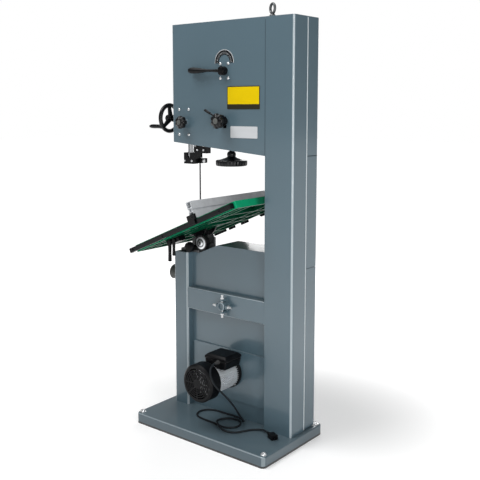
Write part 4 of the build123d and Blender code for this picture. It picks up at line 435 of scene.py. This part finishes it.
def make_materials(finish):
    """Every finish, by material slot of the record or by CAD node."""
    wear, peel = finish.wear, finish.peel
    dark = {"coat": 0.12, "under": (0.04, 0.04, 0.04), "gloss": 0.14}
    alloy = {"metallic": 0.45, "roughness": 0.42, "pits": 0.25}
    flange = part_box("motor_body")[0][1] + 0.017
    made = {
        "grey_paint": enamel("body_enamel", finish.paint, wear, peel, sheen=0.55),
        # Painted shade: the base is a darker copy of the body paint, with a painted contact shadow along its foot.
        "base_plate": enamel("base_enamel", [0.78 * part for part in finish.paint], wear, peel, dust=0.1,
                             foot=0.010, sheen=0.3),
        "plate_yellow": enamel("yellow_enamel", finish.yellow, 0.0, 0.02, roughness=0.3, dust=0.0),
        "steel": bare_metal("turned_steel", (0.50, 0.51, 0.52)),
        "zinc": bare_metal("zinc_plate", (0.62, 0.63, 0.64), roughness=0.08),
        "blade_steel": bare_metal("blade_band", (0.028, 0.029, 0.032), stretch=(300.0, 300.0, 3.0)),
        "black_iron": enamel("black_enamel", finish.black, wear, 0.08, roughness=0.34, dust=0.02, **dark),
        "cast_wheel": cast_metal("grey_casting", (0.46, 0.46, 0.47), metallic=0.5, roughness=0.42, pits=0.4),
        "table_iron": enamel("green_enamel", finish.green, wear, 0.05, roughness=0.33, dust=0.1),
        "silver_alloy": cast_metal("alloy_casting", finish.alloy, **alloy),
        "motor_body": cast_metal("motor_casting", finish.alloy, **alloy, flange=(flange, finish.black)),
        "rail_black": enamel("rail_enamel", srgb(6, 12, 14), wear, 0.03, roughness=0.3, dust=0.0, **dark),
        "black_plastic": moulded("black_moulding", finish.black),
        "grey_plastic": moulded("grey_moulding", srgb(96, 98, 96)),
        "black_rubber": moulded("black_rubber", (0.018, 0.018, 0.019), roughness=0.7),
        "cord_grey": moulded("cord_jacket", finish.cord, roughness=0.5, round_edge=0.0),
        "guide_handwheel": moulded("black_gloss", finish.black, roughness=0.26, grain=0.08, gloss=0.26),
        "eye_bolt": bare_metal("dark_steel", (0.12, 0.125, 0.13), roughness=0.1),
        "lower_guides": cast_metal("dark_casting", (0.085, 0.087, 0.09), metallic=0.4, roughness=0.4,
                                   pits=0.4),
        "rear_plates": plate_enamels(finish),
        "table": table_enamel(finish),
        "tilt_handwheel": tilt_wheel_finish(finish),
    }
    moulded("seam_sealer", srgb(58, 70, 78), roughness=0.6)
    # Pale strip that paints the highlight along the door's edge.
    moulded("pale_seal", srgb(222, 230, 233), roughness=0.4)
    bare_metal("bright_zinc", (0.78, 0.79, 0.80), roughness=0.02)
    for node, like in (("crank_handle", "guide_handwheel"), ("lock_mount", "black_iron"),
                       ("trunnion_bracket", "lower_guides")):
        made[node] = made[like]
    return made


# ------------------------------------------------------------------ helpers
def joint_place(name):
    """Where a joint of the frame turns."""
    for joint in frame["joints"]:
        if joint["name"] == name:
            return Vector(joint["pos_m"])
    raise RuntimeError("No joint named " + name)


def mode(name):
    """Puts the active object in OBJECT or EDIT mode."""
    bpy.ops.object.mode_set(mode=name)


def deselect():
    """Leaves edit mode and selects nothing."""
    if bpy.context.object and bpy.context.object.mode != "OBJECT":
        mode("OBJECT")
    bpy.ops.object.select_all(action="DESELECT")


def pick(obj):
    """Selects one object and makes it the active one."""
    deselect()
    obj.select_set(True)
    bpy.context.view_layer.objects.active = obj


def apply_moves():
    """Fixes the selected shape's place, turn and size in its mesh."""
    bpy.ops.object.transform_apply(location=True, rotation=True, scale=True)


def placed(name, data, place=(0, 0, 0), direction=None):
    """A new object in the scene, looking in a direction if one is given."""
    obj = bpy.data.objects.new(name, data)
    bpy.context.scene.collection.objects.link(obj)
    obj.location = place
    if direction is not None:
        obj.rotation_mode = "QUATERNION"
        obj.rotation_quaternion = direction.to_track_quat("-Z", "Y")
    return obj


def finish_piece(obj, name, body, stands_for, finish):
    """Names a finished piece, gives it its body, the nodes it stands for and its material."""
    obj.name = name
    obj.data.name = name
    obj.data.materials.clear()
    obj.data.materials.append(bpy.data.materials[finish])
    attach(obj, body)
    if stands_for:
        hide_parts(*stands_for)
    return obj


def edit_all(obj):
    """Opens a mesh for editing with all of it selected."""
    pick(obj)
    mode("EDIT")
    bpy.ops.mesh.select_all(action="SELECT")


def select_where(obj, kind, test):
    """Selects the vertices or faces ("polygons") of an edited mesh whose middle passes a test."""
    bpy.ops.mesh.select_mode(type="VERT" if kind == "vertices" else "FACE")
    bpy.ops.mesh.select_all(action="DESELECT")
    mode("OBJECT")
    for element in getattr(obj.data, kind):
        element.select = test(element.co if kind == "vertices" else element.center)
    mode("EDIT")


def close_shape(obj, bevel=0.0008, segments=2, angle=35):
    """Merges doubles, turns faces outwards, rounds the sharp edges and smooths the rest."""
    edit_all(obj)
    bpy.ops.mesh.remove_doubles(threshold=0.00002)
    bpy.ops.mesh.normals_make_consistent(inside=False)
    mode("OBJECT")
    if bevel:
        rounding = obj.modifiers.new("rounding", "BEVEL")
        rounding.width = bevel
        rounding.segments = segments
        rounding.limit_method = "ANGLE"
        rounding.angle_limit = math.radians(angle)
        bpy.ops.object.modifier_apply(modifier=rounding.name)
    bpy.ops.object.shade_smooth_by_angle(angle=math.radians(angle))
    return obj


def lay(obj, axis, place):
    """Lays a shape made along Z on another axis, moves it and fixes its place in the mesh."""
    turns = {"X": (0, math.pi / 2, 0), "Y": (-math.pi / 2, 0, 0), "Z": (0, 0, 0)}
    pick(obj)
    apply_moves()
    obj.rotation_euler = turns[axis]
    obj.location = place
    apply_moves()
    return obj


def turned(profile, steps=48, bevel=0.0006, flutes=None):
    """A shape turned about Z from (radius, height) pairs; flutes is (count, depth, least radius)."""
    deselect()
    radius, height = profile[0]
    bpy.ops.mesh.primitive_circle_add(vertices=steps, radius=radius, fill_type="NGON", enter_editmode=True)
    bpy.ops.transform.translate(value=(0, 0, height))
    for (near, low), (far, high) in zip(profile, profile[1:]):
        bpy.ops.mesh.extrude_region_move(TRANSFORM_OT_translate={"value": (0, 0, high - low)})
        grow = far / near
        bpy.ops.transform.resize(value=(grow, grow, 1), center_override=(0, 0, high))
    obj = bpy.context.object
    if flutes:
        flute(obj, *flutes)
    return close_shape(obj, bevel)


def flute(obj, count, depth, least):
    """Presses hollows into the rim of a turned shape, deepest between the lobes."""
    levels = 8
    for level in range(1, levels + 1):
        def near(point, level=level):
            if math.hypot(point.x, point.y) < least:
                return False
            wave = 0.5 + 0.5 * math.cos(count * math.atan2(point.y, point.x))
            return round(wave ** 2 * levels) == level
        select_where(obj, "vertices", near)
        shrink = 1 - depth * level / levels
        bpy.ops.transform.resize(value=(shrink, shrink, 1), center_override=(0, 0, 0))


def joined(pieces):
    """Pieces joined into the first of them."""
    deselect()
    for piece in pieces:
        piece.select_set(True)
    bpy.context.view_layer.objects.active = pieces[0]
    if len(pieces) > 1:
        bpy.ops.object.join()
    return pieces[0]


def slab(low, high, bevel=0.001, segments=2):
    """A block between two corners with rounded edges."""
    deselect()
    middle = [(a + b) / 2 for a, b in zip(low, high)]
    size = [b - a for a, b in zip(low, high)]
    bpy.ops.mesh.primitive_cube_add(size=1, location=middle, scale=size)
    obj = bpy.context.object
    apply_moves()
    return close_shape(obj, bevel, segments)


class SAW_OT_materials(bpy.types.Operator):
    """Make the shared surface patterns and every finish, and paint the CAD pieces with them"""
    bl_idname = "saw.materials"
    bl_label = "Paint and metal"

    def execute(self, context):
        for build in (make_edge_wear, make_mottle, make_brushed, make_settled_dust, make_painted_fold_highlight):
            build()
        made = make_materials(context.scene.saw_finish)
        slots = {part["node"]: part["material_slot"] for part in frame["record"]["subparts"]}
        for name, obj in frame["nodes"].items():
            obj.data.materials.clear()
            obj.data.materials.append(made.get(name) or made[slots[name]])
        return {"FINISHED"}


class SAW_OT_cord(bpy.types.Operator):
    """Lay the power cord from the motor's terminal box to its plug"""
    bl_idname = "saw.cord"
    bl_label = "Power cord"

    def execute(self, context):
        route = [
            (-44, 130, 383), (-44, 172, 383), (-60, 205, 353), (-84, 202, 302), (-102, 168, 260),
            (-112, 127, 214), (-119, 88, 164), (-122, 56, 114), (-119, 25, 78), (-102, -5, 58.5),
            (-68, -24, 57.5), (-18, -28, 57.5), (40, -25, 57.5), (88, -25, 57.5), (122, -16, 57.5),
            (147, 6, 57.5), (156, 38, 57.5), (145, 70, 57.5), (118, 90, 57.5), (76, 98, 57.5),
            (24, 98, 57.5), (-22, 103, 57.5), (-56, 108, 57.5), (-87, 101, 57.5), (-109, 78, 57.5),
            (-114, 46, 57.5), (-101, 17, 57.5), (-74, 1, 57.5), (-42, 0, 57.5), (-13, 13, 57.5),
            (5, 39, 57.5), (5, 71, 62), (-13, 98, 70), (-41, 123, 70), (-76, 138, 62),
            (-114, 139, 57.5), (-148, 120, 57.5), (-168, 86, 57.5), (-184, 50, 57.5), (-213, 26, 58.5),
            (-248, 24, 66), (-280, 38, 66)]
        cord_radius = 0.0045
        line = bpy.data.curves.new("power_cord_line", "CURVE")
        line.dimensions = "3D"
        line.resolution_u = 6
        line.bevel_depth = cord_radius
        line.bevel_resolution = 5
        line.use_fill_caps = True
        spline = line.splines.new("NURBS")
        spline.points.add(len(route) - 1)
        for point, place in zip(spline.points, route):
            point.co = (*(Vector(place) / 1000), 1)
        spline.order_u = 3
        spline.use_endpoint_u = True
        cord = placed("power_cord_line", line)
        finish_piece(cord, "power_cord_line", "frame", ["power_cord"], "cord_jacket")
        return {"FINISHED"}


class SAW_OT_blade(bpy.types.Operator):
    """Cut one tooth, repeat it and bend the band round both wheels"""
    bl_idname = "saw.blade"
    bl_label = "Toothed blade"

    def execute(self, context):
        low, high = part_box("saw_blade")
        pitch, thickness, gullet = 0.00635, 0.0008, 0.003
        radius = (high[0] - low[0] - thickness) / 2
        span = high[2] - low[2] - thickness - 2 * radius
        length = 2 * span + 2 * math.pi * radius
        count = round(length / pitch)
        pitch = length / count
        deselect()
        bpy.ops.mesh.primitive_cube_add(size=1, location=(pitch / 2, 0, 0),
                                        scale=(pitch, high[1] - low[1], thickness))
        tooth = context.object
        apply_moves()
        edit_all(tooth)
        bpy.ops.mesh.bisect(plane_co=(pitch * 0.7, 0, 0), plane_no=(1, 0, 0))
        front = low[1] - (low[1] + high[1]) / 2
        select_where(tooth, "vertices", lambda point: point.y < front + 1e-5 and point.x > pitch * 0.6)
        bpy.ops.transform.translate(value=(0, gullet, 0))
        select_where(tooth, "polygons", lambda point: min(point.x, pitch - point.x) < 1e-6)
        bpy.ops.mesh.delete(type="FACE")
        mode("OBJECT")
        tooth.rotation_euler = (math.pi / 2, 0, 0)
        apply_moves()
        track = self.path(radius, span)
        pick(tooth)
        rows = tooth.modifiers.new("teeth", "ARRAY")
        rows.count = count
        rows.relative_offset_displace = (1, 0, 0)
        rows.use_merge_vertices = True
        rows.merge_threshold = 0.00001
        bend = tooth.modifiers.new("bend", "CURVE")
        bend.object = track
        bend.deform_axis = "POS_X"
        bpy.ops.object.modifier_apply(modifier="teeth")
        bpy.ops.object.modifier_apply(modifier="bend")
        bpy.data.objects.remove(track)
        tooth.data.transform(Matrix.Translation(Vector((0, (low[1] + high[1]) / 2, 0))))
        close_shape(tooth, 0)
        finish_piece(tooth, "toothed_blade", "frame", ["saw_blade"], "blade_band")
        return {"FINISHED"}

    def path(self, radius, span):
        """A closed path of two half-circles and two straights, upright in the XZ plane."""
        low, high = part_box("saw_blade")
        middle, bottom = (low[0] + high[0]) / 2, low[2] + (high[2] - low[2] - span) / 2
        top = bottom + span
        line = bpy.data.curves.new("blade_path", "CURVE")
        line.dimensions = "3D"
        line.resolution_u = 64
        line.twist_mode = "MINIMUM"
        spline = line.splines.new("BEZIER")
        spline.bezier_points.add(5)
        reach = radius * 4 / 3 * math.tan(math.pi / 8)
        rise = Vector((0, 0, reach))
        aside = Vector((reach, 0, 0))
        straight = Vector((0, 0, span / 3))
        stops = [((middle, 0, bottom - radius), aside, aside), ((middle + radius, 0, bottom), rise, straight),
                 ((middle + radius, 0, top), straight, rise), ((middle, 0, top + radius), -aside, -aside),
                 ((middle - radius, 0, top), -rise, -straight),
                 ((middle - radius, 0, bottom), -straight, -rise)]
        for point, (place, before, after) in zip(spline.bezier_points, stops):
            point.co = place
            point.handle_left = Vector(place) - before
            point.handle_right = Vector(place) + after
        spline.use_cyclic_u = True
        return placed("blade_path", line)


class SAW_OT_tension_wheel(bpy.types.Operator):
    """Turn the dished handwheel under the head, with a gripped rim, and its steel screw"""
    bl_idname = "saw.tension_wheel"
    bl_label = "Tension handwheel"

    def execute(self, context):
        low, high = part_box("tension_handwheel")
        place = joint_place("tension_wheel_turn")
        centre = (place.x, place.y, low[2])
        rim = (high[0] - low[0]) / 2
        profile = [(0.014, 0.030), (0.028, 0.024), (rim - 0.019, 0.012), (rim - 0.012, 0.005),
                   (rim - 0.007, 0.0), (rim - 0.0025, 0.001), (rim, 0.007), (rim, 0.016), (rim, 0.024),
                   (rim - 0.002, 0.0265), (rim - 0.005, 0.0275), (rim - 0.012, 0.026), (rim - 0.024, 0.031),
                   (0.026, 0.040), (0.020, 0.045), (0.0215, 0.049), (0.022, 0.055), (0.0215, 0.060),
                   (0.019, 0.066), (0.015, 0.069), (0.0085, 0.074)]
        wheel = turned(profile, steps=144, flutes=(24, 0.035, rim - 0.003))
        lay(wheel, "Z", centre)
        finish_piece(wheel, "tension_wheel_rim", "tension_wheel_body", ["tension_handwheel"],
                     "black_gloss")
        top = high[2] - low[2]
        crest, root, pitch, hub_top = 0.0079, 0.0066, 0.004, 0.074
        screw = [(crest, 0.035), (crest, hub_top)]
        for index in range(int((top - 0.076) / pitch)):
            base = hub_top + pitch * index
            screw += [(root, base + pitch * 0.45), (crest, base + pitch * 0.55), (crest, base + pitch)]
        thread = turned(screw, steps=24, bevel=0)
        lay(thread, "Z", centre)
        collar = turned([(0.0177, 0.0742), (0.0177, 0.0770)], steps=48, bevel=0.0004)
        lay(collar, "Z", centre)
        finish_piece(joined([thread, collar]), "tension_screw", "tension_wheel_body", [], "turned_steel")
        return {"FINISHED"}


class SAW_OT_knobs(bpy.types.Operator):
    """Mould the lobed knobs of the tracking screw and the guide post, with caps and stems"""
    bl_idname = "saw.knobs"
    bl_label = "Lobed knobs"

    def execute(self, context):
        self.knob("tracking_knob", "tracking_knob_body", joint_place("tracking_turn"), 0.037, 0.042, 0.070)
        self.knob("guide_lock_knob", "guide_lock_body", joint_place("guide_lock_turn"), 0.032, 0.020, 0.050)
        return {"FINISHED"}

    def knob(self, node, body, centre, radius, front, back):
        """One knob with its grip between two depths on Y, its cap and its stem."""
        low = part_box(node)[0]
        depth = back - front
        stem_radius = 0.0055
        profile = [(radius * 0.38, -0.15 * depth), (radius * 0.40, 0.0), (radius * 0.93, 0.02 * depth),
                   (radius, 0.10 * depth), (radius, 0.40 * depth), (radius * 0.97, 0.66 * depth),
                   (radius * 0.86, 0.80 * depth), (radius * 0.62, 0.92 * depth),
                   (radius * 0.50, 0.985 * depth), (radius * 0.42, 0.985 * depth),
                   (radius * 0.41, 0.94 * depth)]
        grip = turned(profile, steps=96, bevel=0.0005, flutes=(7, 0.17, radius * 0.6))
        lay(grip, "Y", (centre.x, front, centre.z))
        finish_piece(grip, node + "_grip", body, [node], "black_gloss")
        cap = turned([(radius * 0.40, 0.93 * depth), (radius * 0.40, 0.965 * depth),
                      (radius * 0.30, 0.995 * depth)], steps=48)
        lay(cap, "Y", (centre.x, front, centre.z))
        finish_piece(cap, node + "_cap", body, [], "grey_moulding")
        stem = turned([(stem_radius * 0.8, low[1]), (stem_radius, low[1] + 0.002), (stem_radius, front)],
                      steps=32)
        lay(stem, "Y", (centre.x, 0, centre.z))
        stem_parts = [stem]
        if node == "guide_lock_knob":
            collar = turned([(0.0147, 0.0006), (0.0147, front - 0.004)], steps=48)
            stem_parts.append(lay(collar, "Y", (centre.x, 0, centre.z)))
        finish_piece(joined(stem_parts), node + "_stem", body, [], "turned_steel")


class SAW_OT_terminal_box(bpy.types.Operator):
    """Mould the motor's terminal box with its lid, lid screws and cable relief"""
    bl_idname = "saw.terminal_box"
    bl_label = "Terminal box"

    def execute(self, context):
        low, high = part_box("terminal_box")
        seam, gap = low[2] + 0.62 * (high[2] - low[2]), 0.0008
        edge, slope, inset = 0.004, 0.012, 0.018
        base = slab(low, (high[0], high[1], seam - gap), 0)
        edit_all(base)
        select_where(base, "vertices", lambda point: point.z < low[2] + 0.001)
        middle = [(a + b) / 2 for a, b in zip(low, high)]
        bpy.ops.transform.resize(value=(0.86, 0.95, 1), center_override=middle)
        mode("OBJECT")
        close_shape(base, 0.006, 4)
        lid = slab((low[0], low[1], seam + gap), high, 0)
        edit_all(lid)
        select_where(lid, "polygons", lambda point: point.z > high[2] - 0.001)
        bpy.ops.mesh.inset(thickness=slope, depth=0)
        mode("OBJECT")
        edit_all(lid)
        select_where(lid, "vertices", lambda point: point.z > high[2] - 0.001 and (
            point.x < low[0] + edge or point.x > high[0] - edge
            or point.y < low[1] + edge or point.y > high[1] - edge))
        bpy.ops.transform.translate(value=(0, 0, -slope))
        mode("OBJECT")
        close_shape(lid, 0.003, 3, angle=20)
        gasket = slab((low[0] + 0.003, low[1] + 0.003, seam - 0.001),
                      (high[0] - 0.003, high[1] - 0.003, seam + 0.001), 0.0003)
        finish_piece(base, "terminal_box_base", "frame", ["terminal_box"], "black_moulding")
        finish_piece(lid, "terminal_box_lid", "frame", [], "black_moulding")
        finish_piece(gasket, "terminal_box_gasket", "frame", [], "black_rubber")
        screws = []
        for x in (low[0] + inset, high[0] - inset):
            for y in (low[1] + inset, high[1] - inset):
                head = turned([(0.0035, 0), (0.0035, 0.001), (0.0028, 0.0018), (0.0012, 0.0018),
                               (0.0012, 0.0008)], steps=20, bevel=0.0002)
                screws.append(lay(head, "Z", (x, y, high[2] - 0.0022)))
        finish_piece(joined(screws), "lid_screws", "frame", [], "zinc_plate")
        self.relief()
        return {"FINISHED"}

    def relief(self):
        """The tapered, ringed sleeve where the cord leaves the box."""
        low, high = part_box("cord_gland")
        length = high[1] - low[1]
        radius = (high[2] - low[2]) / 2
        collar, rings = 0.0085, 5
        profile = [(radius * 0.92, 0.0), (radius, 0.001), (radius, 0.007), (radius * 0.86, collar)]
        step = (length - collar - 0.002) / rings
        for index in range(rings):
            start = collar + step * index
            outer = radius * (0.84 - 0.26 * index / rings)
            profile += [(outer, start + step * 0.1), (outer - 0.0003, start + step * 0.6),
                        (outer - 0.0012, start + step * 0.7), (outer - 0.0012, start + step * 0.95)]
        profile.append((0.0052, length))
        relief = turned(profile, steps=40, bevel=0.0002)
        lay(relief, "Y", ((low[0] + high[0]) / 2, low[1], (low[2] + high[2]) / 2))
        finish_piece(relief, "strain_relief", "frame", ["cord_gland"], "black_rubber")


class SAW_OT_guide_screws(bpy.types.Operator):
    """Fit the socket screws and the thumb nut of the upper blade guide"""
    bl_idname = "saw.guide_screws"
    bl_label = "Guide screws"

    def execute(self, context):
        low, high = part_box("upper_guide_body")
        foot_z, arm_z = low[2] + 0.015, high[2] - 0.016
        foot_y, arm_y = high[1], high[1] - 0.002
        places = [(high[0] - 0.058, foot_y, foot_z), (high[0] - 0.010, foot_y, foot_z),
                  (low[0] + 0.020, arm_y, arm_z), (low[0] + 0.062, arm_y, arm_z)]
        screws = []
        for place in places:
            head = turned([(0.0030, 0.0), (0.0048, 0.0), (0.0050, 0.0006), (0.0050, 0.0040),
                           (0.0044, 0.0048), (0.0026, 0.0048), (0.0024, 0.0022)], steps=28, bevel=0.0002)
            screws.append(lay(head, "Y", place))
        finish_piece(joined(screws), "guide_screws", "guide_body", [], "bright_zinc")
        low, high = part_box("upper_guides")
        bridge_left, height = low[0] - 0.0141, 0.0086
        nut = turned([(0.0035, 0.0), (0.0088, 0.0), (0.0094, 0.0008), (0.0094, 0.0075), (0.0086, height),
                      (0.0040, height)], steps=60, bevel=0.0002, flutes=(20, 0.08, 0.0088))
        lay(nut, "X", (bridge_left - height, low[1] + 0.034, (low[2] + high[2]) / 2))
        finish_piece(nut, "guide_thumb_nut", "guide_body", [], "bright_zinc")
        return {"FINISHED"}


class SAW_OT_tension_spring(bpy.types.Operator):
    """Wind the spring under the upper wheel's carriage"""
    bl_idname = "saw.tension_spring"
    bl_label = "Tension spring"

    def execute(self, context):
        low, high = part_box("tension_spring")
        wire, turns = 0.0018, 4
        radius = (high[0] - low[0]) / 2 - wire
        middle = ((low[0] + high[0]) / 2, (low[1] + high[1]) / 2)
        deselect()
        bpy.ops.mesh.primitive_circle_add(vertices=16, radius=wire, fill_type="NOTHING",
                                          location=(radius, 0, 0), rotation=(math.pi / 2, 0, 0))
        coil = context.object
        apply_moves()
        winding = coil.modifiers.new("winding", "SCREW")
        winding.axis = "Z"
        winding.angle = turns * 2 * math.pi
        winding.screw_offset = high[2] - low[2] - 2 * wire
        winding.steps = winding.render_steps = turns * 48
        bpy.ops.object.modifier_apply(modifier="winding")
        edit_all(coil)
        bpy.ops.mesh.fill_holes(sides=16)
        mode("OBJECT")
        close_shape(coil, 0, angle=50)
        lay(coil, "Z", (*middle, low[2] + wire))
        finish_piece(coil, "tension_coil", "frame", ["tension_spring"], "turned_steel")
        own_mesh(coil)
        return {"FINISHED"}


class SAW_OT_seams(bpy.types.Operator):
    """Lay the seam beside the column, the pale strip that paints the highlight along the door's edge, the cover's
    gasket and the anchor washers
    """
    bl_idname = "saw.seams"
    bl_label = "Seams and washers"

    def execute(self, context):
        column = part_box("column")
        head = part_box("upper_housing")
        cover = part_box("column_cover")
        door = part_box("upper_door")
        edge, front, lap = column[1][0], column[0][1], 0.0012
        seams = (
            ("head_seam", "seam_sealer", 0.0006,
             (edge - lap, -0.0006, head[0][2] + 0.001), (edge + lap, 0.0007, head[1][2] - 0.012)),
            # Painted highlight: a pale strip along the column's front edge stands for the light caught by the
            # door's rounded edge.
            ("door_seal", "pale_seal", 0.0010,
             (column[0][0] - 0.0016, front - 0.0006, column[0][2] + 0.004),
             (column[0][0] + 0.004, front + 0.0044, column[1][2] - 0.004)),
            ("cover_gasket", "seam_sealer", 0.0005,
             (cover[0][0] + lap, cover[0][1] + lap, cover[1][2]),
             (edge - 0.001, front - 0.003, door[0][2] - 0.0006)))
        for name, finish, bevel, low, high in seams:
            finish_piece(slab(low, high, bevel), name, "frame", [], finish)
        self.washers()
        return {"FINISHED"}

    def washers(self):
        """A washer and sleeve at each anchor hole, low enough in front for the door to pass over."""
        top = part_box("base_plate")[1][2]
        holes = next(mount for mount in frame["record"]["mounts"] if mount["name"] == "anchor_holes")["dims"]
        half_x, half_y = holes["spacing_x_mm"] / 2000, holes["spacing_y_mm"] / 2000
        bore, under_door, tallest = 0.0072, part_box("lower_door")[0][2] - top - 0.0007, 0.0090
        washers = []
        for x in (-half_x, half_x):
            for y, tall in ((-half_y, under_door), (half_y, tallest)):
                ring = turned([(bore, tall * 0.5), (bore, 0.0002), (0.0155, 0.0), (0.0155, 0.0022),
                               (0.0115, 0.0026), (0.0105, tall), (bore, tall), (bore, tall * 0.55)],
                              steps=40, bevel=0.0002)
                washers.append(lay(ring, "Z", (x, y, top)))
        finish_piece(joined(washers), "anchor_sleeves", "frame", [], "bright_zinc")


class SAW_OT_stage(bpy.types.Operator):
    """Set up the pale floor, the soft light and the camera"""
    bl_idname = "saw.stage"
    bl_label = "Studio"

    def execute(self, context):
        settings = context.scene.saw_stage
        self.camera(context, settings)
        self.floor()
        self.room(context, settings)
        self.lamp("key_lamp", settings.key, (1.0, 1.3, 4.3), (0.0, 0.0, 0.4), (2.2, 2.2))
        self.lamp("side_lamp", settings.side, (-2.4, 1.1, 1.75), (-0.3, 0.0, 1.2), (0.8, 1.8))
        self.lamp("strip_lamp", settings.strip, (-2.55, 2.75, 1.3), (-0.3, 0.0, 1.1), (0.12, 2.4))
        self.lamp("fill_lamp", settings.fill, (1.4, -3.6, 2.4), (0.0, 0.0, 0.9), (2.4, 2.4))
        context.scene.view_settings.view_transform = "Standard"
        return {"FINISHED"}

    def camera(self, context, settings):
        """The camera, level sideways and looking a little down."""
        data = bpy.data.cameras.new("camera")
        data.lens = settings.lens
        data.sensor_width = 36
        data.shift_y = settings.rise
        flat = math.cos(settings.fall)
        back = Vector((math.sin(settings.azimuth) * flat, -math.cos(settings.azimuth) * flat,
                       math.sin(settings.fall)))
        context.scene.camera = placed("camera", data, settings.place, -back)

    def floor(self):
        """A pale floor that the camera sees as white further out, that keeps the shadow, and whose dimmer glow
        near the machine paints a soft shadow round it.
        """
        deselect()
        bpy.ops.mesh.primitive_plane_add(size=60, location=(0, 0, 0))
        floor = bpy.context.object
        floor.name = "studio_floor"
        made, tree, shader = material("studio_floor", Base_Color=(0.8, 0.8, 0.8), Roughness=0.9,
                                      Specular_IOR_Level=0.1, Emission_Color=(1, 1, 1))
        path = add(tree, "LightPath")
        seen = maths(tree, "MAXIMUM", (path, "Is Camera Ray"), (path, "Is Glossy Ray"))
        reach = vectors(tree, "LENGTH", on_object(tree)), "Value"
        # Painted shadow: the glow that the camera sees drops near the machine, a soft dark spot round its foot.
        glow_and_painted_shadow = add(tree, "MapRange", interpolation_type="SMOOTHSTEP", in_Value=reach, in_From_Min=0.6,
                   in_From_Max=1.8, in_To_Min=0.28, in_To_Max=0.92)
        link(tree, maths(tree, "MULTIPLY", seen, glow_and_painted_shadow), shader, "Emission Strength")
        floor.data.materials.append(made)

    def room(self, context, settings):
        """Even light all round, and a white background for the camera."""
        world = bpy.data.worlds.new("room")
        context.scene.world = world
        world.use_nodes = True
        tree = world.node_tree
        even = tree.nodes["Background"]
        link(tree, (1, 1, 1), even, "Color")
        link(tree, settings.sky, even, "Strength")
        white = add(tree, "Background", in_Color=(1, 1, 1), in_Strength=1.0)
        path = add(tree, "LightPath")
        seen = maths(tree, "MAXIMUM", (path, "Is Camera Ray"), (path, "Is Transmission Ray"))
        mix = add(tree, "MixShader", in_0=seen, in_1=even, in_2=white)
        link(tree, mix, tree.nodes["World Output"], "Surface")

    def lamp(self, name, power, place, target, size):
        """A soft lamp that faces a target."""
        data = bpy.data.lights.new(name, "AREA")
        data.energy = power
        data.shape = "RECTANGLE"
        data.size, data.size_y = size
        placed(name, data, place, Vector(target) - Vector(place))


class SAW_PT_panel(bpy.types.Panel):
    """Lists the steps that finish the saw"""
    bl_label = "Band saw"
    bl_idname = "SAW_PT_panel"
    bl_space_type = "VIEW_3D"
    bl_region_type = "UI"
    bl_category = "Band saw"

    def draw(self, context):
        for step in steps:
            self.layout.operator(step.bl_idname)


steps = (SAW_OT_materials, SAW_OT_cord, SAW_OT_blade, SAW_OT_tension_wheel, SAW_OT_knobs,
         SAW_OT_terminal_box, SAW_OT_guide_screws, SAW_OT_tension_spring, SAW_OT_seams, SAW_OT_stage)
classes = (SawFinish, SawStage) + steps + (SAW_PT_panel,)


def register():
    for each in classes:
        bpy.utils.register_class(each)
    bpy.types.Scene.saw_finish = PointerProperty(type=SawFinish)
    bpy.types.Scene.saw_stage = PointerProperty(type=SawStage)


def unregister():
    del bpy.types.Scene.saw_stage
    del bpy.types.Scene.saw_finish
    for each in reversed(classes):
        bpy.utils.unregister_class(each)


def main():
    """Runs every step."""
    register()
    for step in steps:
        group_name, step_name = step.bl_idname.split(".")
        getattr(getattr(bpy.ops, group_name), step_name)()


if __name__ == "__main__":
    main()
